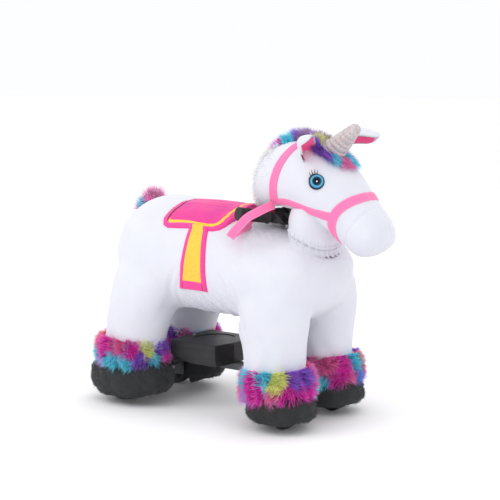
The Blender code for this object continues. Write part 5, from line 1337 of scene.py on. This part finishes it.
# %% Horn
def glitter_cloth():
    material, tree, shader = finish_of("glitter_cloth", Metallic=0.15, Coat_Weight=0.25, Coat_Roughness=0.25)
    cells = node(tree, "ShaderNodeTexVoronoi", {"Vector": object_place(tree), "Scale": 360.0})
    flakes = between_stops(
        tree, node(tree, "ShaderNodeSeparateXYZ", {0: cells.outputs["Color"]}).outputs[0],
        (0.0, (0.22, 0.19, 0.20)), (0.20, (0.44, 0.37, 0.35)), (0.40, (0.60, 0.55, 0.50)),
        (0.55, (0.50, 0.30, 0.40)), (0.68, (0.30, 0.50, 0.48)), (0.80, (0.62, 0.55, 0.42)),
        (0.90, (0.62, 0.26, 0.34)), (1.0, (0.80, 0.78, 0.76)),
    )
    drift = spots(tree, 30.0, 2.0, 0.5)
    drift = between_stops(tree, drift, (0.3, (0.46, 0.41, 0.39)), (0.7, (0.60, 0.57, 0.60)))
    relief = cells.outputs["Distance"]
    roughness = maths(tree, "MULTIPLY_ADD", relief, 0.35, 0.28)
    wire_up(tree, shader, blend_colours(tree, 0.5, flakes, drift), roughness, relief, 0.8, 0.001)
    return material


horn_foot, horn_reach = Vector((0.2225, 0.0, 0.6120)), Vector((0.0855, 0.0, 0.0735))
horn_foot_radius, horn_tip_radius = 0.0345, 0.0112
horn_rows, rows_under_skin, horn_sides = 60, 6, 56
seam_turns, seam_depth, tip_share = 9.5, 0.065, 0.90


def horn_radius(turn, share):
    """Tapered, with a seam that winds up it and a round tip."""
    radius = horn_foot_radius + (horn_tip_radius - horn_foot_radius) * share
    radius *= 1 - seam_depth * (0.5 + 0.5 * cos(turn + tau * seam_turns * share)) ** 3
    radius *= 1 + 0.02 * sin(turn * 3 + share * 9)
    if share > tip_share:
        radius *= max(1 - ((share - tip_share) / 0.101) ** 2, 0) ** 0.5
    return radius


def horn_rings():
    up = Y.cross(horn_reach.normalized())
    rings = []
    for row in range(-rows_under_skin, horn_rows + 1):
        share, ring = row / horn_rows, []
        for k in range(horn_sides):
            turn = tau * k / horn_sides
            spoke = (Y * cos(turn) + up * sin(turn)) * horn_radius(turn, share)
            ring.append(horn_foot + horn_reach * share + spoke)
        rings.append(ring)
    return rings


horn_mesh = mesh_of("horn_cover", lofted(horn_rings()))
place("horn_cover", horn_mesh, glitter_cloth(), stands_for=["horn"])

# %% [markdown]
# Ears. Each is two leaves of plush sewn edge to edge, white outside and pink inside, that
# curls along its length and droops outwards. The lining is a second, slightly smaller leaf
# on the inside, so a white rim shows all round it.

# %% Ears
ear_path = ((0.0, 0.0, 0.0), (0.12, 0.14, 0.52), (0.38, 0.44, 0.98), (0.70, 0.76, 1.0), (1.0, 1.0, 0.80))
ear_widths = (0.90, 1.0, 1.0, 0.94, 0.80)
ear_half_width, ear_thickness = 0.0260, 0.008
# Root, reach, direction that the back faces, and curl. The near ear has rolled open and the far
# one is lifted, so the two differ
ear_kinds = {
    1: (Vector((0.1880, 0.057, 0.613)), Vector((0.097, 0.0745, 0.058)), Vector((-0.40, 0.15, 0.90)), 0.026),
    -1: (Vector((0.1935, 0.056, 0.612)), Vector((0.050, 0.0780, 0.042)), Vector((-0.82, 0.24, 0.50)), 0.021),
}


def ear_frames(side):
    """Middle, across and lift directions, and width share, along the ear."""
    root, reach, face, _ = ear_kinds[side]
    route = spline([root + reach * Vector(share) for share in ear_path], 8)
    widths = spline([np.array((wide,)) for wide in ear_widths], 8)
    frames = []
    for here, middle in enumerate(route):
        share = here / (len(route) - 1)
        rounding = max(1 - (max(share - 0.80, 0) / 0.201) ** 2, 0) ** 0.5
        tangent = (route[min(here + 1, len(route) - 1)] - route[max(here - 1, 0)]).normalized()
        across = tangent.cross(face).normalized()
        lift = across.cross(tangent).normalized()
        frames.append((middle, across, lift, float(widths[here][0]) * rounding))
    mirror = Vector((1, side, 1))
    return [(m * mirror, a * mirror, u * mirror, w) for m, a, u, w in frames]


def ear_leaf(side, wide, upper, lower, first=0, last=None, columns=16):
    """A curled leaf between two offsets from the ear's middle, as shares of its thickness."""
    rings = []
    for middle, across, lift, width in ear_frames(side)[first:last]:
        slim = min(width / 0.35, 1) ** 0.5
        ring = []
        for offset, order in ((upper, range(columns + 1)), (lower, range(columns - 1, 0, -1))):
            for column in order:
                share = column / columns * 2 - 1
                puff = max(1 - share**2, 0.0) ** 0.5
                base = -ear_kinds[side][3] * share**2 * width
                rise = base + ear_thickness / 2 * offset * puff * slim
                ring.append(middle + across * ear_half_width * wide * width * share + lift * rise)
        rings.append(ring)
    return lofted(rings)


for hand, side in sides.items():
    leaf = mesh_of(f"ear_{hand}", ear_leaf(side, 1.0, 1.25, -0.60))
    place(f"ear_cover_{hand}", leaf, white_plush, stands_for=[f"ear_{hand}"])
    leaf = mesh_of(f"lining_{hand}", ear_leaf(side, 0.84, -0.20, -1.20, 2, -2))
    place(f"ear_lining_{hand}", leaf, ear_lining)

# %% [markdown]
# Eyes. Each is a domed plastic disc. Rings of colour are painted behind its clear front: a
# dark rim, a pale blue iris with fine rays, and a black pupil. A small white dome on the pupil
# is a painted highlight. The colour is read from the distance to the eye's own axis, so it
# stays round.

# %% Eyes
eye_radius, eye_depth = 0.0178, 0.0085
# Radius and height of the small white dome on the pupil, a painted highlight
highlight_radius, highlight_depth = 0.0020, 0.0012
eye_along, eye_turn = 0.535, radians(21)
iris_rays = 34.0
# Degrees rearwards from upright, and length, of each lash
lash_places = ((-4, 0.0055), (12, 0.0080), (28, 0.0092), (44, 0.0080))
lash_width, lash_depth = 0.0012, 0.0008
rim_steps, rim_thickness = 15, 0.0014


def painted_eye():
    sockets = dict(Roughness=0.25, Coat_Weight=0.06, Specular_IOR_Level=0.15)
    material, tree, shader = finish_of("painted_eye", **sockets)
    parts = node(tree, "ShaderNodeSeparateXYZ", {0: object_place(tree)}).outputs
    x, y = parts[0], parts[1]
    squares = [maths(tree, "MULTIPLY", part, part) for part in (x, y)]
    share = maths(tree, "DIVIDE", maths(tree, "SQRT", maths(tree, "ADD", *squares)), eye_radius)
    rays = maths(tree, "SINE", maths(tree, "MULTIPLY", maths(tree, "ARCTAN2", y, x), iris_rays))
    rings = between_stops(
        tree, maths(tree, "MULTIPLY_ADD", rays, 0.012, share),
        (0.0, (0.002, 0.002, 0.004)), (0.36, (0.003, 0.006, 0.014)), (0.44, (0.006, 0.035, 0.080)),
        (0.56, (0.012, 0.090, 0.170)), (0.62, (0.090, 0.350, 0.540)), (0.74, (0.130, 0.420, 0.620)),
        (0.78, (0.020, 0.140, 0.280)), (0.83, (0.050, 0.230, 0.380)), (0.89, (0.004, 0.020, 0.050)),
        (1.0, (0.003, 0.012, 0.030)),
    )
    wire_up(tree, shader, rings)
    return material


def plain_gloss(name, colour, roughness):
    material, tree, shader = finish_of(name, Coat_Weight=0.5)
    grain = spots(tree, 300.0, 2.0, 0.5)
    tone = between_stops(tree, grain, (0.3, tuple(c * 0.85 for c in colour)), (0.7, colour))
    wire_up(tree, shader, tone, maths(tree, "MULTIPLY_ADD", grain, 0.1, roughness))
    return material


eye_paint = painted_eye()
# White gloss for the painted highlight on each pupil
highlight_paint = plain_gloss("highlight_paint", (0.95, 0.97, 1.0), 0.15)
lash_black = plain_gloss("lash_black", (0.012, 0.012, 0.014), 0.45)


def dome_rings(radius, depth, count=48):
    rings = [rounded(Vector((0, 0, -0.004)), X, Y, radius, radius, count)]
    for step in range(10):
        turn = pi / 2 * step / 9.5
        wide = radius * cos(turn)
        rings.append(rounded(Vector((0, 0, depth * sin(turn))), X, Y, wide, wide, count))
    return rings


def tilted(upward, rearward, degrees):
    """A direction in the eye's own plane, turned rearwards from upright."""
    return upward * cos(radians(degrees)) + rearward * sin(radians(degrees))


def lash_forms(seat, upward, rearward, outward):
    """The dark rim above the eye, and the lashes that rise from it."""
    rim = []
    for step in range(rim_steps):
        away = tilted(upward, rearward, step * 6 - 4)
        thick = rim_thickness * max(sin(pi * (step + 0.4) / 14.8), 0.1)
        middle = seat + away * eye_radius * 1.01 + outward * 0.0012
        rim.append(rounded(middle, away, outward, thick, thick, 8))
    forms = [lofted(rim)]
    bend = upward * 0.004 + outward * 0.0035
    for degrees, long in lash_places:
        away = tilted(upward, rearward, degrees)
        start = seat + away * eye_radius * 0.93 + outward * 0.0015
        across = away.cross(outward).normalized()
        rings = []
        for t, wide in ((0, 1), (0.35, 0.9), (0.7, 0.6), (1.0, 0.12)):
            point = start + away * long * t + bend * t * t
            rings.append(rounded(point, across, outward, lash_width * wide, lash_depth * wide, 8))
        forms.append(lofted(rings))
    return forms


for hand, side in sides.items():
    turn = eye_turn if side > 0 else pi - eye_turn
    outward = head_normal(eye_along, turn)
    seat = laid(head_tree, head_skin(eye_along, turn), outward) + outward * 0.0010
    outward = (outward + X * 0.20).normalized()
    upward = (Z - outward * outward.z).normalized()
    rearward = (-X - outward * (-outward.x)).normalized()
    rearward = (rearward - upward * rearward.dot(upward)).normalized()
    turned = Matrix((upward.cross(outward), upward, outward)).transposed().to_4x4()
    disc = mesh_of(f"eye_{hand}", lofted(dome_rings(eye_radius, eye_depth)))
    eye_matrix = Matrix.Translation(seat) @ turned
    place(f"eye_disc_{hand}", disc, eye_paint, stands_for=[f"eye_{hand}"], matrix=eye_matrix)
    # A small white dome on the pupil, a painted highlight
    highlight_seat = seat + outward * (eye_depth - 0.0007) - upward * 0.0010
    highlight_dot = mesh_of(f"spark_{hand}", lofted(dome_rings(highlight_radius, highlight_depth, 20)))
    place(f"eye_spark_{hand}", highlight_dot, highlight_paint, matrix=Matrix.Translation(highlight_seat) @ turned)
    lashes = mesh_of(f"lashes_{hand}", *lash_forms(seat, upward, rearward, outward))
    place(f"lashes_{hand}", lashes, lash_black)
    print("eye at", [round(c, 3) for c in seat])

# %% [markdown]
# Webbing. The bridle is flat woven strap sewn down on the head, and the rein is one long
# strap from cheek to cheek. Each strap is a row of cross-sections laid on the skin. It
# carries how far along and across each point is, for the weave and the stitch lines.

# %% Strap helper
strap_width, strap_thickness, strap_columns, most_drape = 0.021, 0.0026, 10, 0.012
print("bridle straps are", strap_width, "m wide")


def strap_mesh(name, middles, lifts, width, thick, tree=None, looped=False, sink=0.002):
    """Webbing along a row of middles, pressed onto a skin where one is given, and its length."""
    rings, runs, across_values = [], [], []
    run = 0.0
    count = len(middles)
    for here, middle in enumerate(middles):
        before = middles[here - 1] if here or looped else middle
        after = middles[(here + 1) % count] if here + 1 < count or looped else middle
        tangent = (after - before).normalized()
        lift = (lifts[here] - tangent * lifts[here].dot(tangent)).normalized()
        across = tangent.cross(lift).normalized()
        top, low, spread = [], [], []
        for column in range(strap_columns + 1):
            share = column / strap_columns * 2 - 1
            point = middle + across * width / 2 * share
            skin = laid(tree, point, lift) if tree else point
            skin = point + lift * max(min((skin - point).dot(lift), most_drape), -most_drape)
            top.append(skin + lift * thick * (1 - 0.45 * abs(share) ** 5))
            low.append(skin - lift * sink)
            spread.append(share * width / 2)
        rings.append(top + low[::-1])
        across_values += spread + spread[::-1]
        runs += [run] * (2 * strap_columns + 2)
        run += (after - middle).length
    values = {"run": runs, "side": across_values, "half": [width / 2] * len(runs)}
    return mesh_of(name, lofted(rings, looped), values=values), run


def head_strap(name, places, looped=False, out=0.0, steps=5):
    """Webbing along (share along the head, turn) places."""
    rows = [np.array(row) for row in places]
    route = spline([*rows, rows[0] + (0, tau)], steps)[:-1] if looped else spline(rows, steps)
    for _ in range(0 if looped else 6):
        route = [route[0], *((a + b * 2 + c) / 4 for a, b, c in zip(route, route[1:], route[2:])), route[-1]]
    middles = [head_skin(along, turn) for along, turn in route]
    lifts = [head_normal(along, turn) for along, turn in route]
    middles = [laid(head_tree, middle, lift) for middle, lift in zip(middles, lifts)]
    mesh, run = strap_mesh(name, middles, lifts, strap_width, strap_thickness + out, head_tree, looped)
    print(name, round(run, 3), "m long")
    place(name, mesh, pink_webbing, stands_for=["bridle"])


# %% Bridle
nose_mid, nose_lean, nose_steps = 0.645, 0.090, 16
nose_turns = [tau * step / nose_steps for step in range(nose_steps)]
head_strap("noseband", [(nose_mid + nose_lean * sin(turn), turn) for turn in nose_turns], looped=True)
# Share along the head and degrees above its side, from the crown strap to the noseband
cheek_places = ((0.165, -32), (0.26, -34), (0.37, -34), (0.50, -26), (0.63, -8))
junction_along, junction_turn = cheek_places[0][0], radians(cheek_places[0][1])
for hand, side in sides.items():
    places = [(along, radians(turn) if side > 0 else pi - radians(turn)) for along, turn in cheek_places]
    head_strap(f"cheek_strap_{hand}", places, out=-0.0004)
# Share of the way from the cheek to the top of the head, and share along the head there
crown_table = (
    (0.0, junction_along), (0.09, 0.21), (0.28, 0.30), (0.46, 0.355), (0.64, 0.395), (0.84, 0.425),
    (1.0, 0.435),
)
crown_places = []
for step in range(13):
    share = step / 12
    along_here = read_row(crown_table, 1 - abs(share * 2 - 1))[0]
    crown_places.append((along_here, junction_turn + (pi - junction_turn * 2) * share))
head_strap("crown_strap", crown_places, out=0.0006)

# %% Reins
rein_width, rein_thickness, rein_sink = 0.020, 0.0012, 0.0010
junction = head_skin(junction_along, junction_turn, 0.0056)
outer_face, under_face = (Y + X / 2).normalized(), Vector((-0.55, 0, -0.85)).normalized()
# Points of the rein's left half, with the share by which its outer face has turned under
rein_places = (
    (0.1350, 0.100, 0.5040, 0.0), (0.1310, 0.133, 0.4955, 0.0), (0.1185, 0.158, 0.4830, 0.0),
    (0.1010, 0.168, 0.4620, 0.0), (0.0860, 0.168, 0.4480, 0.1), (0.0760, 0.163, 0.4385, 0.4),
    (0.0690, 0.156, 0.4370, 0.8), (0.0650, 0.140, 0.4410, 1.0), (0.0630, 0.110, 0.4480, 1.0),
    (0.0620, 0.070, 0.4550, 1.0), (0.0610, 0.035, 0.4610, 1.0), (0.0585, 0.000, 0.4630, 1.0),
)
rein_half = [junction] + [Vector(spot[:3]) for spot in rein_places]
rein_lifts = [outer_face] + [outer_face.lerp(under_face, spot[3]).normalized() for spot in rein_places]
mirror = Vector((1, -1, 1))
rein_route, rein_faces = spline(rein_half, 6), spline(rein_lifts, 6)
rein_route += [point * mirror for point in rein_route[-2::-1]]
rein_faces += [lift * mirror for lift in rein_faces[-2::-1]]
rein_mesh, rein_length = strap_mesh(
    "reins_webbing", rein_route, rein_faces, rein_width, rein_thickness, sink=rein_sink,
)
place("reins_webbing", rein_mesh, pink_webbing, stands_for=["reins"])
print("rein length", round(rein_length, 3), "m")

# %% [markdown]
# The saddle is a thin quilted pad that drapes over the back, and a stirrup flap hangs from it
# on each side. The pad is a grid laid on the body's skin and stuffed lightly, so it crowns
# between its edges. Each point knows how far it is from the pad's edge, for border and trim.

# %% Saddle pad
saddle_rear_x, saddle_length, saddle_half_width = -0.1600, 0.1841, 0.133
# Share along from the rear, and share of the half width there
saddle_outline = (
    (0.00, 0.88), (0.03, 0.96), (0.12, 1.0), (0.45, 0.97), (0.73, 0.975), (0.84, 0.95), (0.92, 0.90),
    (0.965, 0.80), (1.00, 0.58),
)
saddle_columns, saddle_rows = 56, 56
saddle_pressure, saddle_travel = 1.5, 0.003
cloth_crease = 75
flap_top_x, flap_foot_x, flap_bow = -0.0465, -0.0415, 0.010
flap_top_half, flap_foot_half, flap_foot_z = 0.027, 0.041, 0.304


def drape_place(tree, x, turn, mirror=Vector((1, 1, 1))):
    """The skin's point and outward direction at a place on the torso."""
    skin = torso_skin(x, turn)
    outward = (torso_skin(x, turn, 0.01) - skin).normalized() * mirror
    return laid(tree, skin * mirror, outward), outward


def distances_down(points):
    """How far along a row of points each one is."""
    return np.cumsum([0.0] + [(b - a).length for a, b in zip(points, points[1:])])


draped, flat_places, outline_points = [], [], []
for row in range(saddle_rows + 1):
    share = row / saddle_rows
    x = saddle_rear_x + saddle_length * share
    edge_turn = torso_turn_at_width(x, saddle_half_width * read_row(saddle_outline, share)[0])
    sweep = pi - edge_turn * 2
    turns = [edge_turn + sweep * column / saddle_columns for column in range(saddle_columns + 1)]
    draped.append([drape_place(body_skin, x, turn) for turn in turns])
    arc = distances_down([point for point, _ in draped[-1]])
    arc -= arc[-1] / 2
    flat_places.append([(x, v) for v in arc])
    outline_points += [(x, arc[0], share), (x, arc[-1], share)]
for end in (0, -1):
    x, reach = flat_places[end][0][0], flat_places[end][-1][1]
    outline_points += [(x, reach * k / 12, 0.0 if end == 0 else 1.0) for k in range(-12, 13)]
outline, flat = np.array(outline_points), np.array(flat_places)
gaps = np.sqrt(((flat.reshape(-1, 1, 2) - outline[None, :, :2]) ** 2).sum(2))
edge_gap = gaps.min(1).reshape(flat.shape[:2])
rearward = fade(outline[gaps.argmin(1), 2], 0.030, 0.012).reshape(flat.shape[:2])
print("saddle", saddle_length, "m along,", round(float(np.ptp(flat[:, :, 1])), 3), "m over the back")

# %% Saddle form
# Each rise, and how far from the pad's edge it is full: the rolled edge, and the crown
edge_rise, edge_reach, crown_rise, crown_reach = 0.0060, 0.010, 0.0045, 0.06
border_seam, seam_width, seam_press = 0.0125, 0.0022, 0.0022
pommel_start, pommel_rise = 0.8, 0.018
pad_clear, pad_sink = 0.0012, 0.0015
rings, edges, rears, runs, flap_gaps = [], [], [], [], []
for row, ring in enumerate(draped):
    top, low = [], []
    share = row / saddle_rows
    for column, (skin, lift) in enumerate(ring):
        gap = edge_gap[row, column]
        crown = min(gap / edge_reach, 1) ** 0.5 * edge_rise + min(gap / crown_reach, 1) * crown_rise
        crown -= seam_press * float(hump(gap, border_seam, seam_width))
        rise = pommel_rise * max(share - pommel_start, 0) / 0.2 * sin(pi * column / saddle_columns)
        top.append(skin + lift * (crown + rise + pad_clear))
        low.append(skin + lift * (rise * 0.6 - pad_sink))
    rings.append(top + low[::-1])
    run_row = flat[row, :, 1] + share * saddle_length
    for values, source in ((edges, edge_gap[row]), (rears, rearward[row]), (runs, run_row)):
        values += [*source, *source[::-1]]
    flap_gaps += [saddle_rear_x + share * saddle_length - flap_top_x] * (2 * saddle_columns + 2)
saddle_values = {"edge": edges, "rearward": rears, "run": runs, "flap gap": flap_gaps}
saddle_mesh = mesh_of("saddle_cover", lofted(rings), values=saddle_values)
under = np.arange(len(saddle_mesh.vertices)) % (2 * saddle_columns + 2) > saddle_columns
saddle_hold = np.clip(under + np.clip(1 - np.array(edges) / 0.006, 0, 1), 0, 1)
saddle_mesh = stuffed(saddle_mesh, lambda points: saddle_hold, saddle_pressure, saddle_travel)
place("saddle_cover", saddle_mesh, saddle_velour, stands_for=["saddle_pad"], crease=cloth_crease)

# %% Stirrup flaps
flap_tree = skin_tree(body_mesh, saddle_mesh)
flap_thickness, flap_roll, flap_sink = 0.0046, 0.005, 0.0014


def flap_mesh(hand, side, rows=44, columns=18):
    """A padded flap down the flank, widening to its foot, and how far it hangs."""
    start_turn = torso_turn_at_width(flap_top_x, saddle_half_width - 0.010)
    foot_turn = torso_turn_at_height(flap_foot_x, flap_foot_z)
    mirror, shares = Vector((1, side, 1)), [column / columns * 2 - 1 for column in range(columns + 1)]
    path = []
    for row in range(rows + 1):
        share = row / rows
        turn = start_turn + (foot_turn - start_turn) * share
        x = flap_top_x + (flap_foot_x - flap_top_x) * share + flap_bow * sin(pi * share)
        half = flap_top_half + (flap_foot_half - flap_top_half) * share
        path.append((half, [drape_place(flap_tree, x + half * across, turn, mirror) for across in shares]))
    down = distances_down([ring[columns // 2][0] for _, ring in path])
    rings, edges, feet = [], [], []
    for (half, ring), fallen in zip(path, down):
        top, low = [], []
        gap_row = [half * (1 - abs(across)) for across in shares]
        foot = down[-1] - fallen
        for (point, lift), gap in zip(ring, gap_row):
            thick = flap_thickness * min(min(gap, foot + 0.0004) / flap_roll + 0.25, 1) ** 0.5
            top.append(point + lift * thick)
            low.append(point - lift * flap_sink)
        rings.append(top + low[::-1])
        edges += gap_row + gap_row[::-1]
        feet += [foot] * (2 * columns + 2)
    return mesh_of(f"flap_{hand}", lofted(rings), values={"edge": edges, "foot": feet}), float(down[-1])


for hand, side in sides.items():
    mesh, fall = flap_mesh(hand, side)
    name = f"stirrup_flap_{hand}"
    place(name, mesh, flap_velour, stands_for=["stirrup_strap"], crease=cloth_crease)
    print(name, "hangs", round(fall, 3), "m")

# %% [markdown]
# Steering. The rider holds two rubber grips on a black moulded bar. The grips get fine ribs
# and a flange, and a three-cornered shroud covers the joint between bar and column. All of
# it rides on the steering, so it turns with the bar.

# %% Handlebar pieces
bar_hub = Vector((0.1175, 0, 0.468))
bar_sweep, bar_rise, bar_reach = radians(24), 0.017, 0.129
grip_from, grip_to, grip_ribs = 0.0525, 0.133, 22


def bar_point(side, reach):
    angle = pi / 2 + bar_sweep
    return bar_hub + Vector((cos(angle), side * sin(angle), 0)) * reach + Z * bar_rise * reach / bar_reach


def turned_form(start, end, profile, count):
    """A form turned round the line from start to end, from (radius, share along) pairs."""
    axis = (end - start).normalized()
    side = axis.cross(Z).normalized()
    up = side.cross(axis)
    rings = [rounded(start.lerp(end, share), side, up, radius, radius, count) for radius, share in profile]
    return lofted(rings)


grip_profile = [(0.0100, 0.0), (0.0166, 0.006), (0.0168, 0.035), (0.0150, 0.055)]
for rib in range(grip_ribs):
    foot = 0.07 + 0.82 * rib / grip_ribs
    grip_profile += [(0.0137, foot), (0.0150, foot + 0.008), (0.0150, foot + 0.026), (0.0137, foot + 0.033)]
grip_profile += [(0.0146, 0.905), (0.0158, 0.93), (0.0160, 0.975), (0.0145, 0.998), (0.0060, 1.0)]
for hand, side in sides.items():
    form = turned_form(bar_point(side, grip_from), bar_point(side, grip_to), grip_profile, 40)
    mesh = mesh_of(f"grip_{hand}", form)
    place(f"rubber_grip_{hand}", mesh, hard_finishes["grip_rubber"], "steering", [f"grip_{hand}"], crease=50)


def shroud_form(side):
    """A three-cornered fairing from the hub down along the bar."""
    corners = (
        ((0.096, 0.004, 0.4930), (0.110, 0.004, 0.4930)), ((0.088, 0.030, 0.4925), (0.106, 0.028, 0.4925)),
        ((0.078, 0.049, 0.4800), (0.114, 0.040, 0.4820)), ((0.075, 0.052, 0.4640), (0.134, 0.034, 0.4590)),
        ((0.092, 0.026, 0.4580), (0.138, 0.018, 0.4560)), ((0.100, 0.004, 0.4580), (0.138, 0.004, 0.4560)),
    )
    rear = [Vector((x, y * side, z)) for (x, y, z), _ in corners]
    front = [Vector((x, y * side, z)) for _, (x, y, z) in corners]
    middle = [(a + b) / 2 for a, b in zip(rear, front)]
    return lofted([rear, middle, front])


for hand, side in sides.items():
    mesh = settled(
        mesh_of(f"shroud_{hand}", shroud_form(side), smooth=False),
        ("BEVEL", {"width": 0.0022, "segments": 3, "limit_method": "ANGLE"}),
    )
    place(f"bar_shroud_{hand}", mesh, hard_finishes["black_plastic"], "steering", crease=35)

# %% [markdown]
# Wheels. All four are small moulded wheels with a ribbed tread and hollow-backed spokes. A
# turned outline gives rim, web and hub, and the web is pressed in between the spokes.


# %% Wheels
wheel_y = 0.104
# Wheel centre, radius, width, hub radius, bore radius, and number of spokes
rear_wheel = (-0.307, 0.045), 0.045, 0.025, 0.014, 0.0053, 5
front_wheel = (0.18, 0.026), 0.026, 0.022, 0.010, 0.0044, 4
tread_steps = 12


def wheel_mesh(name, side, middle, radius, width, hub, bore, spokes, count=90):
    centre, half = Vector((middle[0], side * wheel_y, middle[1])), width / 2
    face = [
        (bore, 1.0), (hub, 1.0), (hub + 0.0010, 0.94), (hub + 0.0025, 0.70), (radius * 0.70, 0.66),
        (radius * 0.78, 0.90), (radius * 0.80, 0.97), (radius * 0.93, 1.0), (radius * 0.985, 0.93),
    ]
    ribs = range(tread_steps + 1)
    tread = [(radius * (1.0 if k % 2 else 0.975), 0.80 - 1.60 * k / tread_steps) for k in ribs]
    rings = []
    for k in range(count):
        turn = tau * k / count
        pressed = 0.55 + 0.65 * (0.5 + 0.5 * cos(turn * spokes)) ** 3
        ring = []
        for r, y in face + tread + [(r, -y) for r, y in face[::-1]]:
            web = pressed if hub + 0.002 < r < radius * 0.74 else 1.0
            ring.append(centre + Vector((r * cos(turn), y * web * half, r * sin(turn))))
        rings.append(ring)
    return mesh_of(name, lofted(rings, looped=True))


tyre_finish = hard_finishes["tyre_plastic"]
for hand, side in sides.items():
    rear = wheel_mesh(f"rear_{hand}", side, *rear_wheel)
    place(f"moulded_wheel_rear_{hand}", rear, tyre_finish, "axle", [f"rear_wheel_{hand}"], crease=40)
    front, body_name = wheel_mesh(f"front_{hand}", side, *front_wheel), f"front_wheel_{hand}"
    place(f"moulded_wheel_front_{hand}", front, tyre_finish, body_name, [body_name], crease=40)

# %% [markdown]
# The rest of the frame is right as it is and only needs its finish. A small bevel on the hard
# edges of the battery box, handlebar, gearbox housing and seat board catches the light as a
# moulded or filed edge does.

# %% Finishes of the frame's own pieces
frame_finishes = {
    "painted_steel": (
        "axle_bracket_left axle_bracket_right fork_left fork_right front_leg_hoop rear_leg_hoop "
        "lower_chassis neck_stem spine_tube"
    ),
    "bare_steel": "rear_axle motor motor_pinion lid_screw steering_column",
    "zinc_steel": "tie_bar",
    "black_plastic": "battery_tray battery_lid charge_socket gearbox_housing handlebar",
    "battery_case": "battery",
    "red_plastic": "power_switch throttle_button",
    "nylon": "drive_gear",
    "cable_sheath": "motor_lead",
    "birch_plywood": "seat_board",
}
edge_widths = {
    "battery_tray": 0.0016, "battery_lid": 0.0016, "handlebar": 0.0015, "gearbox_housing": 0.001,
    "seat_board": 0.001,
}
for finish, names in frame_finishes.items():
    for name in names.split():
        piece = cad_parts[name]
        piece.data.materials.clear()
        piece.data.materials.append(hard_finishes[finish])
        if name in edge_widths:
            bevel = piece.modifiers.new("edges", "BEVEL")
            bevel.width, bevel.segments, bevel.limit_method = edge_widths[name], 2, "ANGLE"
            bevel.angle_limit = radians(35)
    print(finish, "on", names)

# %% [markdown]
# The floor is one pale sheet that reaches to the horizon. It is staging and not a piece.


# %% Floor
def floor_finish():
    material, tree, shader = finish_of("pale_floor", Roughness=0.85)
    tone = spots(tree, 3.0, 4.0, 0.5)
    wire_up(tree, shader, between_stops(tree, tone, (0.3, (0.92, 0.92, 0.922)), (0.7, (0.94, 0.94, 0.942))))
    return material


floor_half = 60.0
corners = [(x * floor_half, y * floor_half, 0) for x, y in ((-1, -1), (1, -1), (1, 1), (-1, 1))]
floor_mesh = bpy.data.meshes.new("floor")
floor_mesh.from_pydata(corners, [], [(0, 1, 2, 3)])
floor_mesh.materials.append(floor_finish())
floor = bpy.data.objects.new("floor", floor_mesh)
scene.collection.objects.link(floor)
print("floor placed")
